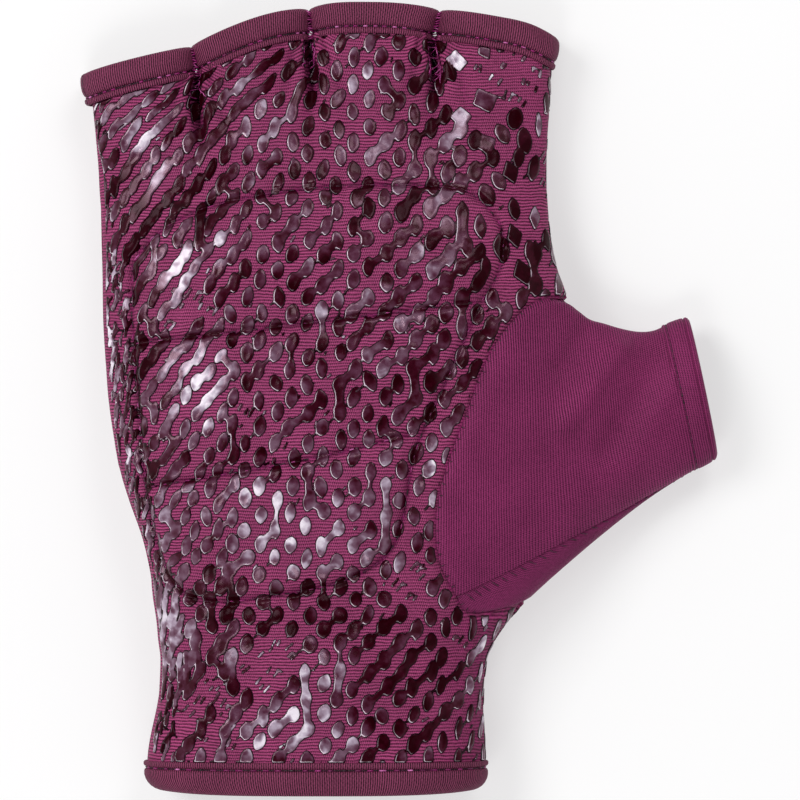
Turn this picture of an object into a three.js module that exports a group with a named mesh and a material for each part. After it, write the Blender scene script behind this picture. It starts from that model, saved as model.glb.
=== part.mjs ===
// A fingerless training glove for the right hand, lying on its back with the palm up.
// Millimetres, +X towards the thumb, +Y towards the fingers, +Z up from the surface it lies on.
import * as THREE from "three";

// Cloth and clearances.
const CLOTH = 1.5;
const GAP = 0.3;

// The hand tube: the cuff end of its panels, and how it bulges.
const CUFF_Y = -72.2;
const UPPER_SHARE = 0.52;
const HAND_POWER = 2.3;
const FINGER_POWER = 2.4;
const GATHER_LENGTH = 16;

// Folded bands: their width along the hand, how far they stand proud, their full thickness,
// how much the cuff's end bows out, and how far the little finger's band stands out at the side.
const FINGER_BAND = 6.4;
const CUFF_BAND = 6.8;
const HEM_BAND = 5.6;
const BAND_PROUD = 0.6;
const BAND_THICK = 2.6;
const CUFF_BOW = 0.8;
const SIDE_PROUD = 0.6;

// The quilted pad of the palm.
const PAD_RISE = 1.4;
const PAD_EDGE = 3;
const GROOVE_DEPTH = 1.1;
const GROOVE_WIDTH = 1.7;

// The thumb: its mouth's centre, half width and half height, the slant of the mouth, and how its
// wall leaves the hand, turns, arrives at the mouth and keeps clear of its seams.
const THUMB_MOUTH = new THREE.Vector3(60.9, 2.4, 7.4);
const THUMB_HALF_WIDTH = 14.1;
const THUMB_HALF_HEIGHT = 7.8;
const THUMB_ACROSS = new THREE.Vector3(-0.206, 0.979, 0);
const THUMB_UPPER_WAY = new THREE.Vector3(0.96, 0.28, 0);
const THUMB_LOWER_WAY = new THREE.Vector3(0.86, 0.51, 0);
const THUMB_LEAVE = 0.68;
const THUMB_CREASE = 0.25;
const THUMB_BACK_SPREAD = 1.5;
const THUMB_ARRIVE = 0.8;
const THUMB_SEAM_SHARE = 0.004;
const THUMB_START_SHARE = 0.02;

// Cells of each panel's net: across and along the hand.
const PALM_CELLS = { across: 26, along: 40 };
const BACK_CELLS = { across: 18, along: 24 };
const THUMB_CELLS = { across: 16, along: 11 };
const FINGER_BAND_STEPS = 24;
const CUFF_BAND_STEPS = 44;
const HEM_BAND_STEPS = 26;

// Sections of the hand tube from cuff to fingers: its left and right edge, and its depth.
const HAND_SECTIONS = [
  { y: -80.0, left: -49.6, right: 16.4, depth: 21.0 },
  { y: -72.2, left: -50.6, right: 17.0, depth: 22.0 },
  { y: -60.2, left: -48.4, right: 16.6, depth: 22.6 },
  { y: -52.2, left: -47.8, right: 17.4, depth: 23.4 },
  { y: -48.2, left: -48.2, right: 19.0, depth: 24.0 },
  { y: -44.2, left: -48.6, right: 21.6, depth: 24.6 },
  { y: -39.2, left: -49.4, right: 26.4, depth: 25.2 },
  { y: -34.2, left: -50.0, right: 30.0, depth: 25.8 },
  { y: -28.2, left: -51.4, right: 33.4, depth: 26.2 },
  { y: -20.2, left: -54.2, right: 36.0, depth: 26.4 },
  { y: -12.2, left: -56.4, right: 37.6, depth: 26.2 },
  { y: -0.2, left: -58.2, right: 37.6, depth: 25.6 },
  { y: 9.8, left: -59.0, right: 36.4, depth: 24.8 },
  { y: 20.2, left: -59.5, right: 33.4, depth: 23.6 },
  { y: 27.8, left: -59.6, right: 30.8, depth: 22.4 },
  { y: 35.8, left: -59.8, right: 29.8, depth: 21.0 },
  { y: 47.8, left: -60.4, right: 29.4, depth: 18.2 },
  { y: 59.8, left: -61.6, right: 30.0, depth: 15.0 },
  { y: 72.0, left: -62.4, right: 30.4, depth: 13.4 },
];

// The finger edge of the panels, by the share of the width from the little finger's side,
// and how far the band above it leans towards that side.
const FINGER_EDGE = [
  { share: 0.0, y: 58.8, lean: -0.22 },
  { share: 0.232, y: 64.3, lean: -0.2 },
  { share: 0.48, y: 71.8, lean: -0.08 },
  { share: 0.61, y: 72.2, lean: 0.05 },
  { share: 0.745, y: 71.6, lean: 0.2 },
  { share: 0.87, y: 69.8, lean: 0.2 },
  { share: 0.94, y: 68.4, lean: 0.2 },
  { share: 1.0, y: 66.0, lean: 0.2 },
];

// The fingers: where each one's opening starts and ends across the hand, and the arch of its band.
const FINGERS = [
  { name: "little", from: 0.0, to: 0.232, arch: 0.4 },
  { name: "ring", from: 0.232, to: 0.48, arch: 1.2 },
  { name: "middle", from: 0.48, to: 0.745, arch: 0.8 },
  { name: "index", from: 0.745, to: 1.0, arch: 0.3 },
];

// Seam of the thumb's front panel on the palm, from the crotch of the thumb down to its heel.
const THUMB_FRONT_SEAM = [
  { x: 33.4, y: 20.2 },
  { x: 28.0, y: 19.8 },
  { x: 22.6, y: 15.6 },
  { x: 17.8, y: 8.6 },
  { x: 13.2, y: -3.0 },
  { x: 10.0, y: -11.6 },
  { x: 8.0, y: -18.6 },
  { x: 7.2, y: -26.2 },
  { x: 8.0, y: -32.6 },
  { x: 11.2, y: -39.2 },
];

// Seam of the thumb's back panel: round the heel on the palm side, then up the back of the hand.
const THUMB_HEEL_SEAM = [
  { x: 11.2, y: -39.2 },
  { x: 13.4, y: -42.4 },
  { x: 19.6, y: -42.4 },
  { x: 24.7, y: -41.0 },
];
const THUMB_BACK_SEAM = [
  { x: 24.7, y: -41.0 },
  { x: 26.4, y: -34.0 },
  { x: 24.6, y: -26.0 },
  { x: 22.0, y: -14.0 },
  { x: 22.4, y: 0.0 },
  { x: 26.4, y: 12.0 },
  { x: 33.4, y: 20.2 },
];

// Far corners that close the thumb hole's outline outside the hand.
const HOLE_CLOSING = [
  { x: 60, y: -41 },
  { x: 60, y: 20.2 },
];

// Stitched outline of the pad, and the two lines across it.
const PAD_OUTLINE = [
  { x: -53.4, y: 27.0 },
  { x: -53.2, y: 12.6 },
  { x: -51.8, y: -4.6 },
  { x: -49.9, y: -22.0 },
  { x: -46.4, y: -34.2 },
  { x: -41.0, y: -39.6 },
  { x: -20.2, y: -38.2 },
  { x: -7.8, y: -34.6 },
  { x: -1.2, y: -29.0 },
  { x: 3.2, y: -10.0 },
  { x: 10.4, y: 6.2 },
  { x: 16.6, y: 20.0 },
  { x: 20.0, y: 26.4 },
  { x: 20.2, y: 34.0 },
  { x: 14.4, y: 40.8 },
  { x: 9.2, y: 42.2 },
  { x: -16.6, y: 42.0 },
  { x: -39.4, y: 37.8 },
  { x: -48.8, y: 32.6 },
];
const UPPER_CROSS_LINE = [
  { x: -52.6, y: 11.0 },
  { x: -30.2, y: 13.6 },
  { x: -13.4, y: 15.6 },
  { x: 15.6, y: 19.2 },
];
const LOWER_CROSS_LINE = [
  { x: -49.6, y: -17.4 },
  { x: -26.6, y: -13.6 },
  { x: -11.0, y: -10.4 },
  { x: 3.6, y: -6.6 },
];

// Section of a folded band: how far along it from its seam, and how deep below its outer face.
const BAND_SECTION = [
  { along: 0.0, deep: 0.12 },
  { along: 0.5, deep: 0.0 },
  { along: 0.93, deep: 0.06 },
  { along: 1.0, deep: 0.3 },
  { along: 1.0, deep: 0.7 },
  { along: 0.93, deep: 0.94 },
  { along: 0.0, deep: 1.0 },
];

const COLOURS = {
  printed: 0x7c3b5f,
  thumb: 0x7a2658,
  binding: 0x703054,
};

const mix = (a, b, share) => a + (b - a) * share;

function smooth(from, to, x) {
  const share = THREE.MathUtils.clamp((x - from) / (to - from), 0, 1);
  return share * share * (3 - 2 * share);
}

// Height of a rounded profile at q, from 1 in the middle to 0 at -1 and 1.
function roundness(q, power) {
  return Math.pow(Math.max(0, 1 - Math.pow(Math.abs(q), power)), 1 / power);
}

// Value of a table's column at x of its key column, on a smooth curve through the rows.
function lookUp(table, key, column, x) {
  const last = table.length - 2;
  const next = table.findIndex((row) => row[key] > x) - 1;
  const i = next < -1 ? last : Math.max(0, next);
  const slope = (k) => {
    const low = table[Math.max(0, k - 1)];
    const high = table[Math.min(table.length - 1, k + 1)];
    return (high[column] - low[column]) / (high[key] - low[key]);
  };
  const [a, b] = [table[i], table[i + 1]];
  const width = b[key] - a[key];
  const t = THREE.MathUtils.clamp((x - a[key]) / width, 0, 1);
  const rise = t * t * (3 - 2 * t);
  const leave = t * (1 - t) * (1 - t) * width * slope(i);
  const arrive = t * t * (t - 1) * width * slope(i + 1);
  return mix(a[column], b[column], rise) + leave + arrive;
}

const leftAt = (y) => lookUp(HAND_SECTIONS, "y", "left", y);
const rightAt = (y) => lookUp(HAND_SECTIONS, "y", "right", y);
const depthAt = (y) => lookUp(HAND_SECTIONS, "y", "depth", y);

const fingerAt = (share) => FINGERS.find((finger) => share <= finger.to) ?? FINGERS.at(-1);

// Y of the panels' finger edge, arched over each finger.
function fingerEdge(share) {
  const finger = fingerAt(share);
  const along = (share - finger.from) / (finger.to - finger.from);
  return lookUp(FINGER_EDGE, "share", "y", share) + finger.arch * 4 * along * (1 - along);
}

// Half of the hand tube's depth, which turns from one hollow into four near the fingers.
function halfDepth(share, y) {
  const half = UPPER_SHARE * depthAt(y);
  const whole = half * roundness(2 * share - 1, HAND_POWER);
  const finger = fingerAt(share);
  const q = (2 * share - finger.from - finger.to) / (finger.to - finger.from);
  const atSide = (q < 0 && finger === FINGERS[0]) || (q > 0 && finger === FINGERS.at(-1));
  const floor = atSide ? 0 : CLOTH;
  const lobe = floor + (half - floor) * roundness(q, FINGER_POWER);
  const pinch = smooth(GATHER_LENGTH, 0, fingerEdge(share) - y);
  return mix(whole, lobe, pinch);
}

// Point of the hand tube on the palm side (side 1) or the back (side -1), before it is pressed flat.
function handPoint(share, y, side) {
  const above = Math.max(0, y - fingerEdge(share));
  const lean = lookUp(FINGER_EDGE, "share", "lean", share) * above;
  const x = mix(leftAt(y), rightAt(y), share) + lean;
  const middle = (1 - UPPER_SHARE) * depthAt(y);
  return new THREE.Vector3(x, y, middle + side * (GAP / 2 + halfDepth(share, y)));
}

// Outward normal of the hand tube, from small steps round it and along it.
function handNormal(share, y, side) {
  const step = 0.012;
  const turn = Math.acos(1 - 2 * THREE.MathUtils.clamp(share, 0, 1));
  const shareAt = (angle) => (1 - Math.cos(THREE.MathUtils.clamp(angle, 0, Math.PI))) / 2;
  const across = handPoint(shareAt(turn + step), y, side).sub(handPoint(shareAt(turn - step), y, side));
  const along = handPoint(share, y + step, side).sub(handPoint(share, y - step, side));
  return across.cross(along).multiplyScalar(side).normalize();
}

// Share of the width at column u of four, one for each finger, closer together at the sides.
function shareOf(u) {
  const index = Math.min(FINGERS.length - 1, Math.floor(u));
  const part = u - index;
  const { from, to } = FINGERS[index];
  if (index === 0) return mix(from, to, 1 - Math.cos((part * Math.PI) / 2));
  if (index === FINGERS.length - 1) return mix(from, to, Math.sin((part * Math.PI) / 2));
  return mix(from, to, part);
}

// Distance from a point to a line of rows, in plan.
function lineDistance(x, y, rows, closed) {
  const ends = closed ? rows.length : rows.length - 1;
  let best = Infinity;
  for (let i = 0; i < ends; i++) {
    const a = rows[i];
    const b = rows[(i + 1) % rows.length];
    const [dx, dy] = [b.x - a.x, b.y - a.y];
    const t = THREE.MathUtils.clamp(((x - a.x) * dx + (y - a.y) * dy) / (dx * dx + dy * dy), 0, 1);
    best = Math.min(best, Math.hypot(x - a.x - t * dx, y - a.y - t * dy));
  }
  return best;
}

function isInside(x, y, rows) {
  let inside = false;
  rows.forEach((a, i) => {
    const b = rows[(i + 1) % rows.length];
    const crosses = a.y > y !== b.y > y;
    if (crosses && x < mix(a.x, b.x, (y - a.y) / (b.y - a.y))) inside = !inside;
  });
  return inside;
}

// Distance outside a closed outline, negative within it.
function outsideDistance(x, y, rows) {
  const distance = lineDistance(x, y, rows, true);
  return isInside(x, y, rows) ? -distance : distance;
}

// How far the palm's face stands above the plain hand: the pad, less its stitched grooves.
function quilting(x, y) {
  const pad = smooth(PAD_EDGE, -PAD_EDGE, outsideDistance(x, y, PAD_OUTLINE)) * PAD_RISE;
  const line = Math.min(
    lineDistance(x, y, PAD_OUTLINE, true),
    lineDistance(x, y, UPPER_CROSS_LINE, false),
    lineDistance(x, y, LOWER_CROSS_LINE, false),
  );
  return pad - GROOVE_DEPTH * Math.exp(-((line / GROOVE_WIDTH) ** 2));
}

// A smooth curve through rows in plan, as a list of closely spaced rows.
function smoothRows(rows, count) {
  const curve = new THREE.CatmullRomCurve3(
    rows.map((row) => new THREE.Vector3(row.x, row.y, 0)),
    false,
    "centripetal",
  );
  return curve.getSpacedPoints(count);
}

const FRONT_SEAM = smoothRows(THUMB_FRONT_SEAM, 40);
const HEEL_SEAM = smoothRows(THUMB_HEEL_SEAM, 12);
const BACK_SEAM = smoothRows(THUMB_BACK_SEAM, 40);
const PALM_HOLE = [...FRONT_SEAM, ...HEEL_SEAM.slice(1), ...HOLE_CLOSING];
const BACK_HOLE = [...BACK_SEAM, ...[...HOLE_CLOSING].reverse()];

// A net of triangles over columns 0 to 4 and rows 0 to 1, cut along the line where keep is 0.
function trimmedNet(cells, keep) {
  const { across, along } = cells;
  const nodes = [];
  for (let j = 0; j <= along; j++) {
    for (let i = 0; i <= across; i++) {
      const u = (FINGERS.length * i) / across;
      nodes.push({ u, v: j / along, value: keep(u, j / along) });
    }
  }
  const at = (i, j) => j * (across + 1) + i;
  nodes.forEach((node, k) => {
    const i = k % (across + 1);
    if (i < across) snapToLine(node, nodes[k + 1], keep);
    if (k + across + 1 < nodes.length) snapToLine(node, nodes[k + across + 1], keep);
  });
  nodes.filter((node) => node.snap).forEach((node) => Object.assign(node, node.snap, { value: 0 }));
  const faces = [];
  for (let j = 0; j < along; j++) {
    for (let i = 0; i < across; i++) {
      const ring = [at(i, j), at(i + 1, j), at(i + 1, j + 1), at(i, j + 1)];
      const kept = ring.filter((k) => nodes[k].value >= 0);
      if (kept.length === 3) faces.push(kept);
      if (kept.length === 4) faces.push(...splitSquare(kept, nodes));
    }
  }
  return { nodes, faces: faces.filter((face) => isKept(face, nodes, keep)) };
}

// Marks the nearer end of a cut side of the net to move onto the line.
function snapToLine(a, b, keep) {
  if (a.value < 0 === b.value < 0) return;
  let [low, high] = [0, 1];
  for (let round = 0; round < 12; round++) {
    const half = (low + high) / 2;
    const same = keep(mix(a.u, b.u, half), mix(a.v, b.v, half)) < 0 === a.value < 0;
    [low, high] = same ? [half, high] : [low, half];
  }
  const snap = { u: mix(a.u, b.u, low), v: mix(a.v, b.v, low) };
  const [nearer, way] = low < 0.5 ? [a, low] : [b, 1 - low];
  if (!nearer.snap || way < nearer.way) Object.assign(nearer, { snap, way });
}

// A square of the net as two triangles that share a corner off the line, where it has one.
function splitSquare(ring, nodes) {
  const offLine = ring.findIndex((k) => nodes[k].value > 0);
  const start = Math.max(0, offLine);
  const [a, b, c, d] = ring.map((_, i) => ring[(start + i) % ring.length]);
  return [
    [a, b, c],
    [a, c, d],
  ];
}

// Whether a triangle lies on the kept side: one wholly on the line is judged by its middle.
function isKept(face, nodes, keep) {
  if (face.some((k) => nodes[k].value > 0)) return true;
  const middle = (field) => face.reduce((sum, k) => sum + nodes[k][field], 0) / face.length;
  return keep(middle("u"), middle("v")) > 0;
}

function signedVolume(points, faces) {
  const volume = (a, b, c) => a.dot(b.clone().cross(c)) / 6;
  return faces.reduce((sum, [a, b, c]) => sum + volume(points[a], points[b], points[c]), 0);
}

// A named mesh of one closed body, its faces turned outward.
function solid(name, points, faces, colour) {
  const outward = signedVolume(points, faces) > 0;
  const geometry = new THREE.BufferGeometry();
  geometry.setAttribute("position", new THREE.Float32BufferAttribute(points.flatMap((p) => p.toArray()), 3));
  geometry.setIndex(faces.flatMap(([a, b, c]) => (outward ? [a, b, c] : [a, c, b])));
  geometry.computeVertexNormals();
  const material = new THREE.MeshStandardMaterial({ color: colour, roughness: 0.7, metalness: 0 });
  const mesh = new THREE.Mesh(geometry, material);
  mesh.name = name;
  return mesh;
}

// A wall of cloth over a net: outer and inner face, joined round every open edge.
function clothWall(name, net, faceAt, colour) {
  const used = [...new Set(net.faces.flat())];
  const place = new Map(used.map((k, i) => [k, i]));
  const pairs = used.map((k) => faceAt(net.nodes[k].u, net.nodes[k].v));
  const points = [...pairs.map((pair) => pair.outer), ...pairs.map((pair) => pair.inner)];
  const outer = net.faces.map((face) => face.map((k) => place.get(k)));
  const inner = outer.map(([a, b, c]) => [a + used.length, c + used.length, b + used.length]);
  const sides = outer.flatMap(([a, b, c]) => [[a, b], [b, c], [c, a]]);
  const present = new Set(sides.map(([a, b]) => a + " " + b));
  const open = sides.filter(([a, b]) => !present.has(b + " " + a));
  const walls = open.flatMap(([a, b]) => [
    [b, a, a + used.length],
    [b, a + used.length, b + used.length],
  ]);
  return solid(name, points, [...outer, ...inner, ...walls], colour);
}

const pressed = (point, floor) => point.setZ(Math.max(point.z, floor));

// Outer and inner face of the hand's wall, flat where it lies on the surface.
function handFaces(u, v, side) {
  const share = shareOf(u);
  const y = mix(CUFF_Y, fingerEdge(share), v);
  const point = handPoint(share, y, side);
  const normal = handNormal(share, y, side);
  const raised = side > 0 ? quilting(point.x, point.y) : 0;
  return {
    outer: pressed(point.clone().addScaledVector(normal, raised), 0),
    inner: pressed(point.clone().addScaledVector(normal, -CLOTH), CLOTH),
  };
}

function handPanel(name, side, cells, hole) {
  const keep = (u, v) => {
    const share = shareOf(u);
    const point = handPoint(share, mix(CUFF_Y, fingerEdge(share), v), side);
    return outsideDistance(point.x, point.y, hole) - GAP / 2;
  };
  const net = trimmedNet(cells, keep);
  return clothWall(name, net, (u, v) => handFaces(u, v, side), COLOURS.printed);
}

// Point and normal of the hand tube where a seam row lies.
function seamPlace(row, side) {
  const [left, right] = [leftAt(row.y), rightAt(row.y)];
  const share = THREE.MathUtils.clamp((row.x - left) / (right - left), 0, 1);
  return { point: handPoint(share, row.y, side), normal: handNormal(share, row.y, side) };
}

const FRONT_RIM = FRONT_SEAM.map((row) => seamPlace(row, 1));
const BACK_RIM = [
  ...HEEL_SEAM.map((row) => seamPlace(row, 1)),
  ...BACK_SEAM.map((row) => seamPlace(row, -1)),
];

function rimAt(rim, share) {
  const place = THREE.MathUtils.clamp(share, 0, 1) * (rim.length - 1);
  const i = Math.min(rim.length - 2, Math.floor(place));
  return {
    point: rim[i].point.clone().lerp(rim[i + 1].point, place - i),
    normal: rim[i].normal.clone().lerp(rim[i + 1].normal, place - i).normalize(),
  };
}

// The thumb's mouth at a turn: the point on its edge, its outward side and the thumb's way there.
function thumbMouth(turn) {
  const point = THUMB_MOUTH.clone()
    .addScaledVector(THUMB_ACROSS, THUMB_HALF_WIDTH * Math.cos(turn))
    .add(new THREE.Vector3(0, 0, THUMB_HALF_HEIGHT * Math.sin(turn)));
  const outward = THUMB_ACROSS.clone()
    .multiplyScalar(Math.cos(turn) / THUMB_HALF_WIDTH)
    .add(new THREE.Vector3(0, 0, Math.sin(turn) / THUMB_HALF_HEIGHT))
    .normalize();
  const way = THUMB_LOWER_WAY.clone().lerp(THUMB_UPPER_WAY, (1 + Math.cos(turn)) / 2).normalize();
  return { point, outward, way };
}

// Point of the thumb tube: it leaves the seam along the hand and arrives along the thumb.
function thumbPoint(half, share, along) {
  const { point: start, normal } = rimAt(half.rim, share);
  const spread = Math.pow(Math.max(0, share), half.spread);
  const { point: mouth, way } = thumbMouth(mix(half.turnFrom, half.turnTo, spread));
  const end = mouth.addScaledVector(way, -HEM_BAND - GAP);
  const chord = end.clone().sub(start);
  const reach = chord.length();
  const flat = chord.clone().projectOnPlane(normal);
  const leave = flat.lerp(chord, THUMB_CREASE).setLength(THUMB_LEAVE * reach);
  const arrive = way.clone().setLength(THUMB_ARRIVE * reach);
  const [t, rest] = [along, 1 - along];
  return start
    .multiplyScalar(rest * rest * (1 + 2 * t))
    .addScaledVector(end, t * t * (3 - 2 * t))
    .addScaledVector(leave, t * rest * rest)
    .addScaledVector(arrive, -t * t * rest);
}

function thumbFaces(half, u, v) {
  const step = 0.01;
  const share = mix(THUMB_SEAM_SHARE, 1 - THUMB_SEAM_SHARE, u / FINGERS.length);
  const along = mix(THUMB_START_SHARE, 1, v);
  const point = thumbPoint(half, share, along);
  const acrossWay = thumbPoint(half, share + step, along).sub(thumbPoint(half, share - step, along));
  const low = Math.max(0, along - step);
  const alongWay = thumbPoint(half, share, along + step).sub(thumbPoint(half, share, low));
  const normal = acrossWay.cross(alongWay).normalize();
  return {
    outer: pressed(point.clone(), 0),
    inner: pressed(point.clone().addScaledVector(normal, -CLOTH), CLOTH),
  };
}

function thumbPanel(name, half) {
  const net = trimmedNet(THUMB_CELLS, () => 1);
  return clothWall(name, net, (u, v) => thumbFaces(half, u, v), COLOURS.thumb);
}

// A closed folded band: section points all round a mouth.
function foldedBand(name, steps, sectionAt) {
  const rows = BAND_SECTION.length;
  const points = [];
  const faces = [];
  for (let k = 0; k < steps; k++) {
    const section = BAND_SECTION.map((row) => sectionAt((2 * Math.PI * k) / steps, row));
    points.push(...section.map((point) => pressed(point, 0)));
    for (let i = 0; i < rows; i++) {
      const [a, b] = [k * rows + i, k * rows + ((i + 1) % rows)];
      const [c, d] = [a, b].map((index) => (index + rows) % (steps * rows));
      faces.push([a, b, d], [a, d, c]);
    }
  }
  return solid(name, points, faces, COLOURS.binding);
}

// Place and outward side on a rounded mouth at a turn.
function mouthPlace(turn, halfWidth, halfHeight, power) {
  const curve = (value) => Math.sign(value) * Math.pow(Math.abs(value), 2 / power);
  const [a, b] = [curve(Math.cos(turn)), curve(Math.sin(turn))];
  const slope = (value) => Math.sign(value) * Math.pow(Math.abs(value), power - 1);
  const outward = new THREE.Vector2(slope(a) / halfWidth, slope(b) / halfHeight).normalize();
  return { across: halfWidth * a, up: halfHeight * b, outward };
}

const bandOffset = (row) => BAND_PROUD - BAND_THICK * row.deep;

function fingerBand({ name, from, to }) {
  const edgeY = fingerEdge((from + to) / 2);
  const [left, right] = [leftAt(edgeY), rightAt(edgeY)];
  const clear = GAP / 2 + BAND_PROUD;
  const start = mix(left, right, from) + (from > 0 ? clear : -SIDE_PROUD);
  const end = mix(left, right, to) - (to < 1 ? clear : 0);
  const halfWidth = (end - start) / 2;
  const depth = depthAt(edgeY);
  const sectionAt = (turn, row) => {
    const mouth = mouthPlace(turn, halfWidth, UPPER_SHARE * depth, FINGER_POWER);
    const offset = bandOffset(row);
    const x = start + halfWidth + mouth.across + mouth.outward.x * offset;
    const share = THREE.MathUtils.clamp((x - left) / (right - left), from, to);
    const above = mix(GAP, FINGER_BAND, row.along);
    const lean = lookUp(FINGER_EDGE, "share", "lean", share) * above;
    const z = (1 - UPPER_SHARE) * depth + mouth.up + mouth.outward.y * offset;
    return new THREE.Vector3(x + lean, fingerEdge(share) + above, z);
  };
  return foldedBand("finger_binding_" + name, FINGER_BAND_STEPS, sectionAt);
}

function cuffBand() {
  const sectionAt = (turn, row) => {
    const y = CUFF_Y - mix(GAP, CUFF_BAND, row.along);
    const [left, right, depth] = [leftAt(y), rightAt(y), depthAt(y)];
    const halfWidth = (right - left) / 2;
    const mouth = mouthPlace(turn, halfWidth, UPPER_SHARE * depth, HAND_POWER);
    const offset = bandOffset(row);
    const x = (left + right) / 2 + mouth.across + mouth.outward.x * offset;
    const z = (1 - UPPER_SHARE) * depth + mouth.up + mouth.outward.y * offset;
    const bow = CUFF_BOW * row.along * Math.pow(mouth.across / halfWidth, 4);
    return new THREE.Vector3(x, y + bow, z);
  };
  return foldedBand("cuff_binding", CUFF_BAND_STEPS, sectionAt);
}

function thumbHem() {
  const sectionAt = (turn, row) => {
    const { point, outward, way } = thumbMouth(turn);
    const back = HEM_BAND * (1 - row.along);
    return point.addScaledVector(way, -back).addScaledVector(outward, bandOffset(row));
  };
  return foldedBand("thumb_hem", HEM_BAND_STEPS, sectionAt);
}

const THUMB_FRONT = { rim: FRONT_RIM, turnFrom: 0, turnTo: Math.PI, spread: 1 };
const THUMB_BACK = { rim: BACK_RIM, turnFrom: Math.PI, turnTo: 2 * Math.PI, spread: THUMB_BACK_SPREAD };

const glove = new THREE.Group();
glove.add(handPanel("palm_panel", 1, PALM_CELLS, PALM_HOLE));
glove.add(handPanel("back_panel", -1, BACK_CELLS, BACK_HOLE));
glove.add(thumbPanel("thumb_front_panel", THUMB_FRONT));
glove.add(thumbPanel("thumb_back_panel", THUMB_BACK));
FINGERS.forEach((finger) => glove.add(fingerBand(finger)));
glove.add(cuffBand());
glove.add(thumbHem());

export default glove;
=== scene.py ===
"""A fingerless training glove lying palm up: its knit cloth, raised print film, bands and stitches."""
import math

import bpy
import numpy as np
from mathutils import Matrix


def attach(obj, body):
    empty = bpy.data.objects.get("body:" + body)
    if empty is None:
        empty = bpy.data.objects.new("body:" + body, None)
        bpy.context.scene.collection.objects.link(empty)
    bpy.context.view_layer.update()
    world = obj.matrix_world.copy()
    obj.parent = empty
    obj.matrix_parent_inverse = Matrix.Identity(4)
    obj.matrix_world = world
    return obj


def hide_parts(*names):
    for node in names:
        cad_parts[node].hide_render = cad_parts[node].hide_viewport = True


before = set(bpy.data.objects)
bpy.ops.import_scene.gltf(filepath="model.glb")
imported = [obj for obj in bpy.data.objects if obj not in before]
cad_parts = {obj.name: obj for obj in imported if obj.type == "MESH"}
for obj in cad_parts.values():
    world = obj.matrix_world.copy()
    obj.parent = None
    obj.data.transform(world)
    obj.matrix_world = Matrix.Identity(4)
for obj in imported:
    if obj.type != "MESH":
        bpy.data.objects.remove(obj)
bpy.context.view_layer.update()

# Sizes are in millimetres, in the model's frame: +X to the thumb, +Y to the fingers, +Z up.
MM = 0.001
BODY = "root"

# Cells of the meshes, across and along a panel or round a band.
PALM_CELLS = (184, 268)
BACK_CELLS = (130, 170)
THUMB_FRONT_CELLS = (120, 84)
THUMB_BACK_CELLS = (110, 60)
FINGER_STEPS = 190
CUFF_STEPS = 420
HEM_STEPS = 200


def rows_of(names, rows):
    """A table as one dict for each row, by the names of its columns."""
    return [dict(zip(names.split(), row)) for row in rows]


# Cloth, its edges and the shape of the hand tube.
CLOTH = 1.5
CUFF_Y = -72.2
UPPER_SHARE = 0.52
HAND_POWER = 2.3
FINGER_POWER = 3.0
GATHER_LENGTH = 16
PANEL_GAP = 0.05
TUCK = 1.2
BACK_REST = 0.25
BACK_SLACK = 0.12
KNIT_PULL = 2.6

# Bands: their width along the hand, the clearance between two fingers' bands, and how far
# cloth that would lie below the surface is pressed together just above it.
FINGER_BAND = 6.4
CUFF_BAND = 6.8
HEM_BAND = 5.6
BAND_CLEAR = 0.72
BAND_CLOSE = 0.6
SIDE_PROUD = 0.6
CUFF_BOW = 0.8
CUFF_ROUND = 1.3
BAND_MIDDLE = 3
PRESSED_LAYER = 0.1
PRESSED_REACH = 0.5

# The quilted pad: how high it stands, and its stitched grooves, puffs and puckers.
PAD_RISE = 1.4
PAD_EDGE = 3
GROOVE_DEPTH = 1.05
GROOVE_WIDTH = 0.75
PUFF_RISE = 0.55
PUFF_REACH = 6
PUCKER_RISE = 0.24
PUCKER_REACH = 3.2
PUCKER_PITCH = 4.4
SEAM_DIP = 0.75
SEAM_REACH = 1.1

# Folds that run down from the tacks between the fingers.
FOLD_RISE = 0.9
FOLD_DEPTH = 1.5
FOLD_LENGTH = 14
FOLD_REACH = 3.2
FOLD_TURNS = 1.35
FOLD_SWAY = 0.5
FOLD_SPREAD = 0.3
FOLD_DIP = 1.6
FAN_START = 1.1
FAN_GROWTH = 0.14
CREASE_WIDTH = 0.62

# The thumb's tube and its mouth.
THUMB_MOUTH = np.array([60.9, 2.4, 7.4])
THUMB_HALF_WIDTH = 14.1
THUMB_HALF_HEIGHT = 7.8
THUMB_ACROSS = np.array([-0.206, 0.979, 0.0])
THUMB_UPPER_WAY = np.array([0.96, 0.28, 0.0])
THUMB_LOWER_WAY = np.array([0.86, 0.51, 0.0])
THUMB_LEAVE = 0.68
THUMB_CREASE = 0.25
THUMB_BACK_SPREAD = 1.5
THUMB_ARRIVE = 0.8
UPPER_SAG = 1.35
THUMB_GIRTH = 40
THUMB_REST = 0.05
SEAM_ROLL = 0.8

# Print film: its thickness, its rounding, its grid and how far it stays from the panels' edges.
FILM_HEIGHT = 0.26
FILM_EDGE = 0.12
FILM_ROUND = 0.24
FILM_SKIRT = -0.16
FILM_CELL = 0.29
BACK_FILM_CELL = 0.45
FILM_MARGIN = 3.2
HOLE_MARGIN = 0.55
FILM_PART_Y = 2.0

# The print's drops: their lattice, how near shapes of film run into each other, and its
# dashes, crumbs and streaks. FAR stands for places that no drop is near.
DROP_STEP_X = 3.05
SIDE_STEP_X = 2.2
DROP_STEP_Y = 2.85
LATTICE_LEFT = -76
LATTICE_RIGHT = 48
LATTICE_ROWS = 27
PLAIN_WEIGHT = 0.12
DROP_BLEND = 0.45
DROP_MARGIN = 1.2
THIN_NECK = 0.24
FINE_DEPTH = 1.8
FAR = 9.0
CRUMBS = 260
DROP_GAP = 1.5
BALD_SHARE = 0.42
STREAK_PITCH = 1.8
STREAK_LANES = 6
LANE_STEP = 2.05

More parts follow.
